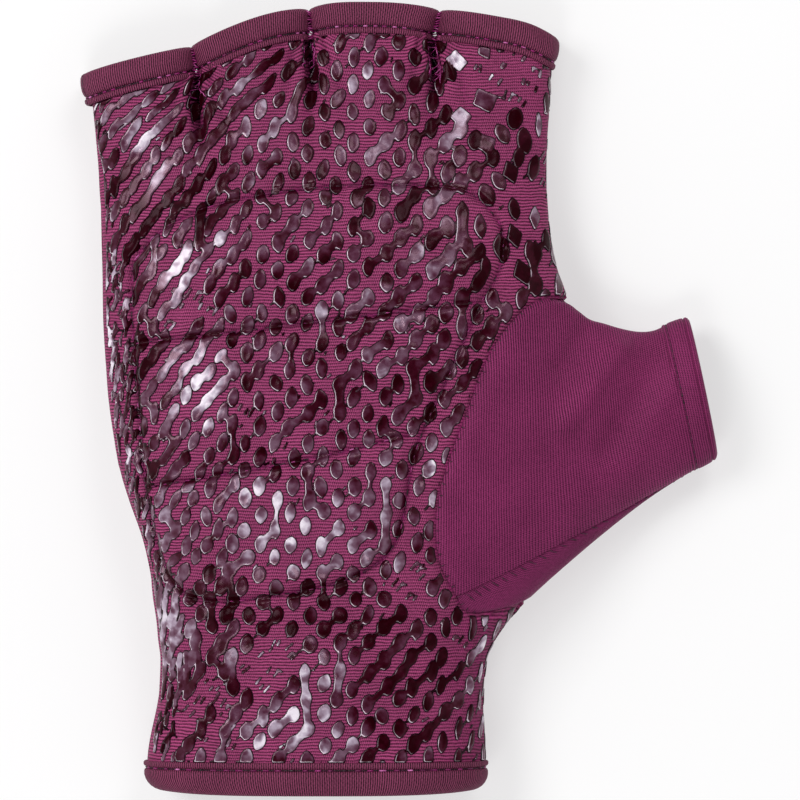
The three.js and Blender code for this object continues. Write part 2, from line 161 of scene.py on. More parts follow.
HAND_SECTIONS = rows_of("y left right depth", [
    (-80, -49.6, 16.4, 21), (-72.2, -50.6, 17, 22), (-60.2, -48.4, 16.6, 22.6),
    (-52.2, -47.8, 17.4, 23.4), (-48.2, -48.2, 19, 24), (-44.2, -48.6, 21.6, 24.6),
    (-39.2, -49.4, 26.4, 25.2), (-34.2, -50, 30, 25.8), (-28.2, -51.4, 33.4, 26.2),
    (-20.2, -54.2, 36, 26.4), (-12.2, -56.4, 37.6, 26.2), (-0.2, -58.2, 37.6, 25.6),
    (9.8, -59, 36.4, 24.8), (20.2, -59.5, 33.4, 23.6), (27.8, -59.6, 30.8, 22.4),
    (35.8, -59.8, 29.8, 21), (47.8, -60.4, 29.4, 18.2), (59.8, -61.6, 30, 15),
    (72, -62.4, 30.4, 13.4),
])

# The cloth's finger edge by the share of the width, and how far the band above it leans.
FINGER_EDGE = rows_of("share y lean", [
    (0, 58.8, -0.22), (0.232, 64.3, -0.2), (0.48, 71.8, -0.08), (0.61, 72.2, 0.05),
    (0.745, 71.6, 0.2), (0.87, 69.8, 0.2), (0.94, 68.4, 0.2), (1, 66, 0.2),
])
FINGERS = rows_of("name from to arch", [
    ("little", 0, 0.232, 0.4), ("ring", 0.232, 0.48, 1.2), ("middle", 0.48, 0.745, 0.8),
    ("index", 0.745, 1, 0.3),
])

# Lines on the cloth, as points in plan.
THUMB_FRONT_SEAM = [
    (33.4, 20.2), (28, 19.8), (22.6, 15.6), (17.8, 8.6), (13.2, -3),
    (10, -11.6), (8, -18.6), (7.2, -26.2), (8, -32.6), (11.2, -39.2),
]
THUMB_HEEL_SEAM = [(11.2, -39.2), (13.4, -42.4), (19.6, -42.4), (24.7, -41)]
THUMB_BACK_SEAM = [
    (24.7, -41), (26.4, -34), (24.6, -26), (22, -14), (22.4, 0), (26.4, 12), (33.4, 20.2),
]
HOLE_CLOSING = [(60, -41), (60, 20.2)]
PAD_OUTLINE = [
    (-53.4, 27), (-53.2, 12.6), (-51.8, -4.6), (-49.9, -22), (-46.4, -34.2), (-41, -39.6),
    (-20.2, -38.2), (-7.8, -34.6), (-1.2, -29), (3.2, -10), (10.4, 6.2), (16.6, 20),
    (20, 26.4), (20.2, 34), (14.4, 40.8), (9.2, 42.2), (-16.6, 42), (-39.4, 37.8), (-48.8, 32.6),
]
UPPER_CROSS_LINE = [(-52.6, 11), (-30.2, 13.6), (-13.4, 15.6), (15.6, 19.2)]
LOWER_CROSS_LINE = [(-49.6, -17.4), (-26.6, -13.6), (-11, -10.4), (3.6, -6.6)]

# Section of a folded tape: the way along it from the cloth, and how far it stands out.
TAPE_PROFILE = rows_of("along out", [
    (0.2, 0), (0.08, 0.3), (0.16, 0.56), (0.42, 0.72), (0.85, 0.72), (1.15, 0.56), (1.33, 0.2),
    (1.42, -0.05), (1.62, -0.05), (1.72, 0.25), (1.92, 0.56), (2.3, 0.74), (3, 0.84), (3.9, 0.84),
    (4.8, 0.72), (5.5, 0.52), (6, 0.22), (6.3, -0.2), (6.4, -0.75), (6.3, -1.3), (5.95, -1.75),
    (5.3, -2), (3.6, -2.1), (1.5, -2.05), (0.5, -2), (0.3, -1.85), (0.3, -1.56), (1.7, -1.54),
    (1.7, 0.04),
])
HEM_PROFILE = rows_of("along out", [
    (-0.2, -0.1), (0, 0.12), (0.25, 0.2), (0.5, 0.12), (0.7, -0.1), (0.9, 0.14), (1.3, 0.32),
    (2.4, 0.42), (3.8, 0.46), (4.15, 0.4), (4.35, 0.16), (4.55, 0.38), (4.85, 0.42), (5.25, 0.14),
    (5.55, -0.4), (5.6, -0.9), (5.45, -1.4), (5, -1.75), (3.4, -1.95), (0.4, -1.95), (-0.2, -1.8),
])
TAPE_FACE = 0.7
HEM_FACE = 0.4
LIP_STITCH = 1.52
HEM_STITCH = 0.7
TACK_TURNS = 11
TACK_HEIGHT = 0.62
LONG_ENDS_TACK = 2
JOIN_TURN = math.radians(158)

# Bare places of the print, where only dashes lie.
BALD_SPOTS = rows_of("x y size", [
    (-41, 16, 5.5), (-33, -5, 4), (-25, -54, 6.5), (-38, -64, 7.5),
    (18, 64, 7), (26, 64, 7), (1, -37, 4.5), (12, -50, 4), (31.5, 50, 5),
    (31.5, 40, 4),
])

# Painted reflections on the film, given as tones from near black, standing for the dark ceiling's reflection,
# to silver, standing for a softbox's; 0 is near black and 1 silver.
TONE_AND_REFLECTION_SPOTS = rows_of("x y wide tall tone", [
    (-46, 40, 12, 12, 0.06), (-39, 58, 4.5, 9, 0), (-52, 55, 3.2, 9, 0.8),
    (-49, 47, 2, 5, 0.85), (-31, 62, 4, 5, 0.74), (-24, 55, 5, 6, 0.46),
    (-16.5, 62, 4, 12, 0), (-13, 42, 8, 5, 0.24), (-8, 63, 4.5, 5, 0.84),
    (-2, 52, 5, 5, 0.4), (6.5, 61, 4, 12, 0), (23, 36, 8, 13, 0.05),
    (11, 36, 7, 10, 0.32), (24, 21, 6, 5, 0.12), (-60, 0, 5, 46, 0.6),
    (-43, 26, 5.5, 5, 0.92), (-36, 30, 3, 4, 0.85), (-40, 2, 5, 9, 0.98),
    (-26, 24, 9, 9, 0.3), (-8, 28, 9, 8, 0.32), (4, 18, 5, 6, 0.44),
    (-14, 3, 14, 7, 0.26), (4, 0, 5, 8, 0.08), (8.5, -17, 3.5, 8, 0.94),
    (-30, -22, 9, 6, 0.66), (-20, -28, 14, 7, 0.84), (-4, -18, 6, 7, 0.56),
    (-45, -20, 5, 12, 0.42), (-20, -43, 26, 6, 0), (8, -45, 8, 5, 0.03),
    (-46, -46, 4.5, 12, 0.7), (-33, -54, 8, 5, 0.3), (-44, -64, 6, 8, 0.2),
    (-22, -66, 10, 6, 0.94), (-12, -55, 8, 6, 0.7), (0, -60, 6, 7, 0.06),
    (18, -56, 4, 16, 0.74), (10.5, -58, 4, 14, 0.02),
])
PLAIN_TONE = 0.27
# Tone of the film's painted shade by the pad's grooves and in the gathers.
GROOVE_SHADE_TONE = 0.02
# Way that the drop edges with a painted highlight fringe face: the lower left.
HIGHLIGHT_FRINGE_WAY = (-0.77, -0.64)

# How the print changes over the palm: the share of drops that merge, how often they do so up and
# towards the thumb, their size, how slim they are and how they lean.
PRINT_ZONES = rows_of("x y wide tall merge rise size slim lean", [
    (-48, 40, 13, 22, 0.9, 0.96, 1.02, 0.78, 20),
    (-47, -12, 9, 20, 0.7, 0.8, 1, 0.85, 26),
    (-40, -54, 10, 14, 0.8, 0.7, 1.14, 0.95, 14),
    (-17, 20, 15, 26, 0.2, 0.85, 1.04, 0.98, 6),
    (5, 24, 13, 22, 0.8, 0.82, 1.22, 1, 6),
    (-18, -26, 20, 10, 0.22, 0.8, 1.04, 0.98, 2),
    (-16, -44, 26, 5, 0.2, 0.8, 1, 1.22, 0),
    (-12, -62, 17, 12, 0.4, 0.85, 1.06, 1, 12),
    (24, 30, 10, 15, 0.15, 0.25, 1.4, 0.9, -8),
    (17, -58, 8, 18, 0.06, 0.8, 0.9, 0.58, 18),
    (-16, 56, 16, 14, 0.34, 0.8, 1.08, 0.95, 4),
])
PLAIN_ZONE = {"merge": 0.34, "rise": 0.8, "size": 1.06, "slim": 0.95, "lean": 8.0}

# Large scales below the index finger and down the thumb's side; their tones include painted reflections, up
# to silver.
LARGE_DROPS = rows_of("kind x y wide tall lean tone tail", [
    ("diamond", 14.6, 67.6, 2.4, 2.5, 10, 0.98, False),
    ("diamond", 20.6, 69.4, 1.7, 1.9, -20, 0.5, False),
    ("diamond", 17.2, 59.6, 3, 2.9, -16, 0.4, True),
    ("diamond", 12.2, 56.2, 2.5, 2.5, -4, 0.74, False),
    ("leaf", 23.1, 56, 1.8, 2.4, 6, 0, False),
    ("leaf", 25.2, 51.6, 1.7, 2.9, -10, 0, False),
    ("leaf", 24, 48.2, 1.3, 2.4, 12, 0, False),
    ("diamond", 17.3, 50.8, 2.4, 2.5, -28, 0.36, False),
    ("leaf", 20.6, 52.9, 1.5, 2.4, -30, 0.26, False),
    ("diamond", 22.3, 45.2, 2, 2.8, -20, 0, False),
    ("leaf", 19.8, 43.4, 1.4, 2.3, -35, 0.26, False),
    ("leaf", 17.4, 40.6, 1.7, 2.6, -25, 0.12, False),
    ("leaf", 28.2, 54.9, 0.8, 2.6, -6, 0.8, False),
    ("leaf", 23.1, 37.8, 1.3, 2.5, -10, 0, False),
    ("diamond", 27.7, 36.2, 1.6, 2.9, 0, 0.5, False),
    ("diamond", 23.1, 32.4, 2, 3, -18, 0, False),
    ("diamond", 27.9, 28.9, 1.9, 3.2, -2, 0, False),
    ("diamond", 24.8, 25.2, 2.3, 3.2, -20, 0, False),
    ("leaf", 15.7, 34, 1.3, 2.6, -4, 0.22, False),
    ("leaf", 13, 30.1, 1.4, 2.6, -8, 0.28, False),
    ("leaf", 16.8, 25.8, 1.2, 2.4, -6, 0, False),
    ("leaf", 20.2, 29.9, 1.9, 3, -12, 0.04, False),
])


def random_source(step):
    """A fixed source of random numbers for one job."""
    return np.random.default_rng(1907 + step)


def mix(a, b, share):
    return a + (b - a) * share


def smooth(start, end, x):
    share = np.clip((x - start) / (end - start), 0, 1)
    return share * share * (3 - 2 * share)


def roundness(q, power):
    """Height of a rounded profile, from 1 in the middle to 0 at -1 and 1."""
    return np.maximum(0, 1 - np.abs(q) ** power) ** (1 / power)


def unit(vectors):
    return vectors / np.maximum(np.linalg.norm(vectors, axis=-1, keepdims=True), 1e-9)


def column(table, name):
    return np.array([row[name] for row in table], float)


def look_up(table, key, name, x):
    """A table's column at x of its key column, on a smooth curve through the rows."""
    keys = column(table, key)
    values = column(table, name)
    order = np.arange(len(keys))
    low = np.maximum(order - 1, 0)
    high = np.minimum(order + 1, len(keys) - 1)
    slopes = (values[high] - values[low]) / (keys[high] - keys[low])
    i = np.clip(np.searchsorted(keys, x, side="right") - 1, 0, len(keys) - 2)
    width = keys[i + 1] - keys[i]
    t = np.clip((x - keys[i]) / width, 0, 1)
    leave = t * (1 - t) ** 2 * width * slopes[i]
    arrive = t * t * (t - 1) * width * slopes[i + 1]
    return mix(values[i], values[i + 1], t * t * (3 - 2 * t)) + leave + arrive


def ripple(x, y, size, step, count=5):
    """Smooth random waves over the plane, about one size long, from -1 to 1."""
    source = random_source(step)
    total = 0
    for _ in range(count):
        way = source.uniform(0, 2 * math.pi)
        pitch = size * source.uniform(0.7, 1.5)
        shift = source.uniform(0, 2 * math.pi)
        total = total + np.sin((x * math.cos(way) + y * math.sin(way)) * 2 * math.pi / pitch + shift)
    return total / count * 1.4


def hand_edges(y):
    return look_up(HAND_SECTIONS, "y", "left", y), look_up(HAND_SECTIONS, "y", "right", y)


def finger_facts(share):
    """Start, end and arch of the finger at each share, and its number."""
    number = np.clip(np.searchsorted(column(FINGERS, "to"), share), 0, len(FINGERS) - 1)
    return [column(FINGERS, name)[number] for name in ("from", "to", "arch")] + [number]


def finger_edge(share):
    start, end, arch, _ = finger_facts(share)
    along = (share - start) / (end - start)
    return look_up(FINGER_EDGE, "share", "y", share) + arch * 4 * along * (1 - along)


def half_depth(share, y):
    """Half of the hand tube's depth, which turns from one hollow into four near the fingers."""
    half = UPPER_SHARE * look_up(HAND_SECTIONS, "y", "depth", y)
    whole = half * roundness(2 * share - 1, HAND_POWER)
    start, end, _, number = finger_facts(share)
    q = (2 * share - start - end) / (end - start)
    at_side = ((q < 0) & (number == 0)) | ((q > 0) & (number == len(FINGERS) - 1))
    floor = np.where(at_side, 0, CLOTH)
    lobe = floor + (half - floor) * roundness(q, FINGER_POWER)
    return mix(whole, lobe, smooth(GATHER_LENGTH, 0, finger_edge(share) - y))


def hand_point(share, y, side):
    """Points of the hand tube on the palm (side 1) or the back (side -1)."""
    share, y = np.broadcast_arrays(share, y)
    above = np.maximum(0, y - finger_edge(share))
    lean = look_up(FINGER_EDGE, "share", "lean", share) * above
    left, right = hand_edges(y)
    middle = (1 - UPPER_SHARE) * look_up(HAND_SECTIONS, "y", "depth", y)
    z = middle + side * (PANEL_GAP / 2 + half_depth(share, y))
    return np.stack([mix(left, right, share) + lean, y, z], axis=-1)


def hand_normal(share, y, side):
    """Outward normals of the hand tube, from small steps round it and along it."""
    step = 0.012
    turn = np.arccos(1 - 2 * np.clip(share, 0, 1))
    after = (1 - np.cos(np.clip(turn + step, 0, math.pi))) / 2
    before = (1 - np.cos(np.clip(turn - step, 0, math.pi))) / 2
    across = hand_point(after, y, side) - hand_point(before, y, side)
    along = hand_point(share, y + step, side) - hand_point(share, y - step, side)
    return unit(np.cross(across, along) * side)


def share_of(u):
    """Share of the width at column u of four, one for each finger, closer together at the sides."""
    number = np.clip(np.floor(u).astype(int), 0, len(FINGERS) - 1)
    part = u - number
    start = column(FINGERS, "from")[number]
    end = column(FINGERS, "to")[number]
    part = np.where(number == 0, 1 - np.cos(part * math.pi / 2), part)
    part = np.where(number == len(FINGERS) - 1, np.sin(part * math.pi / 2), part)
    return mix(start, end, part)


def line_place(x, y, points, closed=False):
    """Distance to a line in plan, and the way along the line to the nearest point of it."""
    rows = np.asarray(points, float)
    if closed:
        rows = np.vstack([rows, rows[:1]])
    best = np.full(np.shape(x), 1e9)
    way = np.zeros(np.shape(x))
    passed = 0.0
    for a, b in zip(rows[:-1], rows[1:]):
        side = b - a
        length = math.hypot(*side)
        if length < 1e-9:
            continue
        t = np.clip(((x - a[0]) * side[0] + (y - a[1]) * side[1]) / length**2, 0, 1)
        distance = np.hypot(x - a[0] - t * side[0], y - a[1] - t * side[1])
        way = np.where(distance < best, passed + t * length, way)
        best = np.minimum(best, distance)
        passed += length
    return best, way


def outside_distance(x, y, points):
    """Distance outside a closed outline in plan, negative within it."""
    rows = np.asarray(points, float)
    inside = np.zeros(np.shape(x), bool)
    for a, b in zip(rows, np.roll(rows, -1, axis=0)):
        if a[1] == b[1]:
            continue
        crosses = (a[1] > y) != (b[1] > y)
        inside ^= crosses & (x < a[0] + (b[0] - a[0]) * (y - a[1]) / (b[1] - a[1]))
    distance, _ = line_place(x, y, rows, closed=True)
    return np.where(inside, -distance, distance)


def smooth_line(points, count):
    """A centripetal curve through points in plan, as evenly spaced points."""
    rows = np.asarray(points, float)
    rows = np.vstack([2 * rows[0] - rows[1], rows, 2 * rows[-1] - rows[-2]])
    t = np.linspace(0, 1, 30)[:, None]
    dense = []
    for p0, p1, p2, p3 in zip(rows[:-3], rows[1:-2], rows[2:-1], rows[3:]):
        d0, d1, d2 = (np.linalg.norm(b - a) ** 0.5 for a, b in ((p0, p1), (p1, p2), (p2, p3)))
        leave = ((p1 - p0) / d0 - (p2 - p0) / (d0 + d1) + (p2 - p1) / d1) * d1
        arrive = ((p2 - p1) / d1 - (p3 - p1) / (d1 + d2) + (p3 - p2) / d2) * d1
        rise = t * t * (3 - 2 * t)
        dense.append(mix(p1, p2, rise) + t * (1 - t) ** 2 * leave + t * t * (t - 1) * arrive)
    return even_points(np.vstack(dense), count)


def lifted_to(points, lowest):
    """The points, with none of them below a height."""
    points[..., 2] = np.maximum(points[..., 2], lowest)
    return points


def bell(distance, width):
    """1 where the distance is 0, fading smoothly to 0 within about two widths."""
    return np.exp(-((distance / width) ** 2))


def way_along(path):
    """The way from a path's start to each of its points."""
    return np.concatenate([[0], np.cumsum(np.linalg.norm(np.diff(path, axis=0), axis=1))])


def even_points(path, count):
    """A path as count + 1 evenly spaced points."""
    way = way_along(path)
    places = np.linspace(0, way[-1], count + 1)
    return np.stack([np.interp(places, way, path[:, k]) for k in range(path.shape[1])], axis=1)


FRONT_SEAM = smooth_line(THUMB_FRONT_SEAM, 60)
HEEL_SEAM = smooth_line(THUMB_HEEL_SEAM, 18)
BACK_SEAM = smooth_line(THUMB_BACK_SEAM, 60)
PALM_HOLE = np.vstack([FRONT_SEAM, HEEL_SEAM[1:], HOLE_CLOSING])
BACK_HOLE = np.vstack([BACK_SEAM, HOLE_CLOSING[::-1]])
PAD_LINE = smooth_line(PAD_OUTLINE + PAD_OUTLINE[:1], 130)
PAD_LINES = [PAD_LINE, np.array(UPPER_CROSS_LINE), np.array(LOWER_CROSS_LINE)]


def tack_places():
    """Where the three tacks between the fingers lie in plan."""
    shares = column(FINGERS, "to")[:-1]
    edges = finger_edge(shares)
    left, right = hand_edges(edges)
    return np.stack([mix(left, right, shares), edges], axis=1)


TACKS = tack_places()


def gather_folds(x, y):
    """Folds that fan out below the tacks between the fingers: their swell and their creases, 0 to 1."""
    swell, crease = 0, 0
    for number, (tack_x, tack_y) in enumerate(TACKS):
        down = np.maximum(0, tack_y - y)
        across = x - tack_x + FOLD_SWAY * np.sin(down * 0.4 + number)
        fade = bell(down, FOLD_LENGTH) * bell(across, FOLD_REACH + FOLD_SPREAD * down)
        fan = across / (FAN_START + FAN_GROWTH * down)
        swell = swell + fade * (1 - bell(across, FOLD_DIP))
        crease = np.maximum(crease, fade * bell(np.sin(fan * FOLD_TURNS), CREASE_WIDTH))
    return swell, crease


def groove_nearness(x, y, width):
    """How near a place lies to the pad's stitched grooves, 1 on them and 0 far away."""
    return bell(np.minimum.reduce([line_place(x, y, line)[0] for line in PAD_LINES]), width)


def painted_crease_shade(x, y):
    """Painted shade on the palm's cloth, 0 to 1: dark in a gather, groove or seam where shade falls, and a
    broad painted shade on the wrist's thumb side.
    """
    _, gathers = gather_folds(x, y)
    seam = bell(outside_distance(x, y, PALM_HOLE), 0.5)
    # Broad painted shade, darker towards the thumb side of the wrist.
    wrist = 0.45 * smooth(4, 20, x) * smooth(-34, -46, y)
    return np.maximum.reduce([0.95 * gathers, 0.62 * groove_nearness(x, y, 0.4), 0.7 * seam, wrist])


def palm_relief(x, y):
    """How far the palm's face stands above the plain hand: pad, puffs, grooves, puckers and folds."""
    outline = outside_distance(x, y, PAD_LINE)
    distances, ways = (np.stack(part) for part in zip(*(line_place(x, y, line) for line in PAD_LINES)))
    near = np.min(distances, axis=0)
    way = np.take_along_axis(ways, np.argmin(distances, axis=0)[None], 0)[0]
    pad = PAD_RISE * smooth(PAD_EDGE, -PAD_EDGE, outline)
    puff = PUFF_RISE * smooth(0.5, -2, outline) * (1 - bell(near, PUFF_REACH))
    wave = np.sin(2 * math.pi * way / PUCKER_PITCH + 1.5 * np.sin(way * 0.35))
    pucker = PUCKER_RISE * bell(near, PUCKER_REACH) * wave
    groove = GROOVE_DEPTH * bell(near, GROOVE_WIDTH)
    seam = SEAM_DIP * bell(outside_distance(x, y, PALM_HOLE), SEAM_REACH)
    slack = 0.22 * ripple(x, y, 24, 1) + 0.08 * ripple(x, y, 9, 2)
    swell, crease = gather_folds(x, y)
    return pad + puff + pucker - groove - seam + slack + FOLD_RISE * swell - FOLD_DEPTH * crease


def back_relief(x, y):
    return BACK_SLACK * ripple(x, y, 20, 3)


def hand_surface(share, y, side, lift=0.0):
    """Points of the cloth's outer face, raised by lift; the back rests just above the surface."""
    share, y, lift = np.broadcast_arrays(share, y, lift)
    point = hand_point(share, y, side)
    relief = palm_relief if side > 0 else back_relief
    raised = relief(point[..., 0], point[..., 1]) + lift
    lowest = 0 if side > 0 else BACK_REST - np.minimum(lift, BACK_REST)
    return lifted_to(point + hand_normal(share, y, side) * raised[..., None], lowest)


def palm_at(points, lift=0.0):
    """Points of the palm's face above places in plan."""
    left, right = hand_edges(points[:, 1])
    return hand_surface((points[:, 0] - left) / (right - left), points[:, 1], 1, lift)


def in_scene(name, data):
    """A new object of a mesh, light or camera, in the scene."""
    thing = bpy.data.objects.new(name, data)
    bpy.context.scene.collection.objects.link(thing)
    return thing


def add_piece(name, points, polygons, material, corner_uv=None, values=None, crease=50):
    """A mesh piece from points in millimetres and arrays of polygons with 3 to 6 corners."""
    polygons = [np.asarray(group) for group in polygons if len(group)]
    sizes = np.concatenate([np.full(len(group), group.shape[1]) for group in polygons])
    corners = corners_of(polygons)
    mesh = bpy.data.meshes.new(name)
    mesh.vertices.add(len(points))
    mesh.vertices.foreach_set("co", (np.asarray(points) * MM).astype(np.float32).ravel())
    mesh.loops.add(len(corners))
    mesh.loops.foreach_set("vertex_index", corners.astype(np.int32))
    mesh.polygons.add(len(sizes))
    mesh.polygons.foreach_set("loop_start", (np.cumsum(sizes) - sizes).astype(np.int32))
    mesh.update(calc_edges=True)
    if corner_uv is not None:
        layer = mesh.uv_layers.new(name="cloth")
        layer.data.foreach_set("uv", np.asarray(corner_uv, np.float32).ravel())
    for key, array in (values or {}).items():
        mesh.attributes.new(key, "FLOAT", "POINT").data.foreach_set("value", array.astype(np.float32))
    mesh.polygons.foreach_set("use_smooth", np.ones(len(sizes), bool))
    mesh.set_sharp_from_angle(angle=math.radians(crease))
    mesh.materials.append(material)
    piece = in_scene(name, mesh)
    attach(piece, BODY)
    return piece


def cell_corners(grid):
    """A grid's values at the four corners of each of its cells, in turn."""
    return [grid[:-1, :-1], grid[:-1, 1:], grid[1:, 1:], grid[1:, :-1]]


def grid_squares(shape):
    """The squares of a grid, as rows of four node numbers."""
    corners = cell_corners(np.arange(shape[0] * shape[1]).reshape(shape))
    return np.stack(corners, axis=-1).reshape(-1, 4)


def new_numbers(used, count):
    """For each of count old numbers, its place among the used ones."""
    place = np.zeros(count, int)
    place[used] = np.arange(len(used))
    return place


def trimmed_grid(u, v, keep):
    """A grid cut along the line where keep is 0: its nodes' u and v, and its squares and triangles."""
    u, v = (array.copy() for array in np.meshgrid(u, v))
    value = keep(u, v)
    best = np.full(u.shape, np.inf)
    new_u, new_v = u.copy(), v.copy()
    every, first, last = slice(None), slice(0, -1), slice(1, None)
    for low, high in (((every, first), (every, last)), ((first, every), (last, every))):
        cut = (value[low] < 0) != (value[high] < 0)
        t = np.where(cut, value[low] / np.where(cut, value[low] - value[high], 1), 0)
        at_u = mix(u[low], u[high], t)
        at_v = mix(v[low], v[high], t)
        for end, way in ((low, t), (high, 1 - t)):
            nearer = cut & (way <= 0.5) & (way < best[end])
            best[end] = np.where(nearer, way, best[end])
            new_u[end] = np.where(nearer, at_u, new_u[end])
            new_v[end] = np.where(nearer, at_v, new_v[end])
    value = np.where(np.isfinite(best), 0, value).ravel()
    new_u, new_v = new_u.ravel(), new_v.ravel()
    ring = grid_squares(u.shape)
    kept = value[ring] >= 0
    middle = keep(new_u[ring].mean(1), new_v[ring].mean(1))
    whole = kept.all(1) & ((value[ring] > 0).any(1) | (middle > 0))
    three = kept.sum(1) == 3
    triangles = ring[three][kept[three]].reshape(-1, 3)
    solid = (value[triangles] > 0).any(1)
    return new_u, new_v, ring[whole], triangles[solid]


def corners_of(polygons):
    return np.concatenate([np.asarray(group).ravel() for group in polygons if len(group)])


def shell_piece(name, faces, squares, triangles, uv, material, crease=None):
    """A cloth piece: an outer and an inner face with the same polygons, joined round every open edge."""
    outer, inner = faces
    used = np.unique(corners_of([squares, triangles]))
    place = new_numbers(used, len(outer))
    squares, triangles = place[squares], place[triangles]
    count = len(used)
    starts = corners_of([squares, triangles])
    ends = corners_of([np.roll(squares, -1, 1), np.roll(triangles, -1, 1)])
    open_edge = ~np.isin(starts * count + ends, ends * count + starts)
    a, b = starts[open_edge], ends[open_edge]
    walls = np.stack([b, a, a + count, b + count], axis=1)
    polygons = [squares, triangles, squares[:, ::-1] + count, triangles[:, ::-1] + count, walls]
    points = np.vstack([outer[used], inner[used]])
    corner_uv = np.tile(uv[used], (2, 1))[corners_of(polygons)]
    # The palm's crease attribute carries painted shade for its gathers, grooves and seam.
    values = {} if crease is None else {"crease": np.tile(crease[used], 2)}
    return add_piece(name, points, polygons, material, corner_uv, values)


def arc_table(rows, side):
    """For each row along the hand, how the share of the width goes with the way round the cloth."""
    share = (1 - np.cos(np.linspace(0, math.pi, 500))) / 2
    tables = []
    for y in rows:
        way = way_along(hand_point(share, np.full(share.shape, y), side))
        left, right = hand_edges(np.array([y]))
        tables.append((way - np.interp(0.5, share, way) + (left[0] + right[0]) / 2, share))
    return tables


def cloth_coordinate(share, y, side):
    """Way round the cloth at each point, from tables at evenly spaced rows."""
    rows = np.linspace(CUFF_Y - 3, 76, 80)
    ways = np.stack([np.interp(share, t[1], t[0]) for t in arc_table(rows, side)])
    place = np.clip((y - rows[0]) / (rows[1] - rows[0]), 0, len(rows) - 1.001)
    i = place.astype(int)
    index = np.arange(share.size)
    return mix(ways[i, index], ways[i + 1, index], place - i)


def knit_rows(x, y):
    """Way along the knit, pulled up where a tack gathers the cloth."""
    pull = 0
    for tack_x, tack_y in TACKS:
        pull = pull + KNIT_PULL * np.exp(-np.maximum(0, tack_y - y) / 7) * bell(x - tack_x, 4)
    return y - pull + 0.35 * ripple(x, y, 40, 4)


def hand_cloth(name, side, cells, hole, material):
    """One panel of the hand's cloth, cut round the thumb and tucked into the bands."""
    def row_y(u, v):
        return mix(CUFF_Y - TUCK, finger_edge(share_of(u)) + TUCK, v)

    def keep(u, v):
        point = hand_point(share_of(u), row_y(u, v), side)
        return outside_distance(point[..., 0], point[..., 1], hole) - PANEL_GAP

    columns, rows = np.linspace(0, len(FINGERS), cells[0] + 1), np.linspace(0, 1, cells[1] + 1)
    u, v, squares, triangles = trimmed_grid(columns, rows, keep)
    share, y = share_of(u), row_y(u, v)
    outer = hand_surface(share, y, side)
    inner = lifted_to(hand_point(share, y, side) - hand_normal(share, y, side) * CLOTH, CLOTH)
    uv = np.stack([cloth_coordinate(share, y, side), knit_rows(outer[:, 0], y)], axis=1)
    # Painted shade in the palm's gathers, grooves and seam; the back has none.
    crease = painted_crease_shade(outer[:, 0], outer[:, 1]) if side > 0 else np.zeros(len(outer))
    return shell_piece(
        name, (outer, inner), squares[:, ::side], triangles[:, ::side], uv, material, crease
    )


def seam_rim(parts):
    """Points and normals of the hand tube along seam rows, as (rows, side) parts."""
    points, normals = [], []
    for rows, side in parts:
        left, right = hand_edges(rows[:, 1])
        share = np.clip((rows[:, 0] - left) / (right - left), 0, 1)
        points.append(hand_point(share, rows[:, 1], side))
        normals.append(hand_normal(share, rows[:, 1], side))
    return np.vstack(points), np.vstack(normals)


def at_share(rows, share):
    place = np.clip(share, 0, 1) * (len(rows) - 1)
    return np.stack([np.interp(place, np.arange(len(rows)), rows[:, k]) for k in range(3)], axis=-1)


def thumb_mouth(turn):
    """The thumb's mouth at a turn: points on its edge, their outward side and the thumb's way."""
    cos, sin = np.cos(turn)[..., None], np.sin(turn)[..., None]
    up = np.array([0.0, 0.0, 1.0])
    point = THUMB_MOUTH + THUMB_ACROSS * THUMB_HALF_WIDTH * cos + up * THUMB_HALF_HEIGHT * sin
    outward = unit(THUMB_ACROSS * cos / THUMB_HALF_WIDTH + up * sin / THUMB_HALF_HEIGHT)
    return point, outward, unit(mix(THUMB_LOWER_WAY, THUMB_UPPER_WAY, (1 + cos) / 2))


def thumb_point(half, share, along):
    """Points of the thumb tube: it leaves the seam along the hand and arrives along the thumb."""
    start = at_share(half["rim"][0], share)
    normal = unit(at_share(half["rim"][1], share))
    turn = mix(half["turn_from"], half["turn_to"], np.clip(share, 0, 1) ** half["spread"])
    mouth, _, way = thumb_mouth(turn)
    end = mouth - way * HEM_BAND
    chord = end - start
    reach = np.linalg.norm(chord, axis=-1, keepdims=True)
    flat = chord - normal * np.sum(chord * normal, axis=-1, keepdims=True)
    leave = unit(mix(flat, chord, THUMB_CREASE)) * THUMB_LEAVE * reach
    arrive = way * THUMB_ARRIVE * reach
    t = along[..., None]
    rise = t * t * (3 - 2 * t)
    upper = ((1 + np.cos(turn)) / 2)[..., None] ** 3
    sag = THUMB_ACROSS * UPPER_SAG * 4 * t * np.maximum(1 - t, 0) * upper
    return mix(start, end, rise) + leave * t * (1 - t) ** 2 - arrive * t * t * (1 - t) - sag


# Soft folds of the thumb's cloth: each is a ridge or a hollow from one place in plan to another.
THUMB_FOLDS = rows_of("x0 y0 x1 y1 wide rise", [
    (44, 9.5, 33, -5, 2.6, 1.2), (38, 16, 32, 6, 2.2, -0.5), (52, 8, 41, -10, 3, -1),
    (55, 4, 48, -10, 2.4, 0.5), (52, -9, 34, -22, 3.4, 0.45), (20, 6, 14, -20, 4, 0.35),
])


def thumb_relief(x, y):
    total = 0.12 * ripple(x, y, 18, 5)
    for fold in THUMB_FOLDS:
        distance, _ = line_place(x, y, [(fold["x0"], fold["y0"]), (fold["x1"], fold["y1"])])
        total = total + fold["rise"] * bell(distance, fold["wide"])
    return total


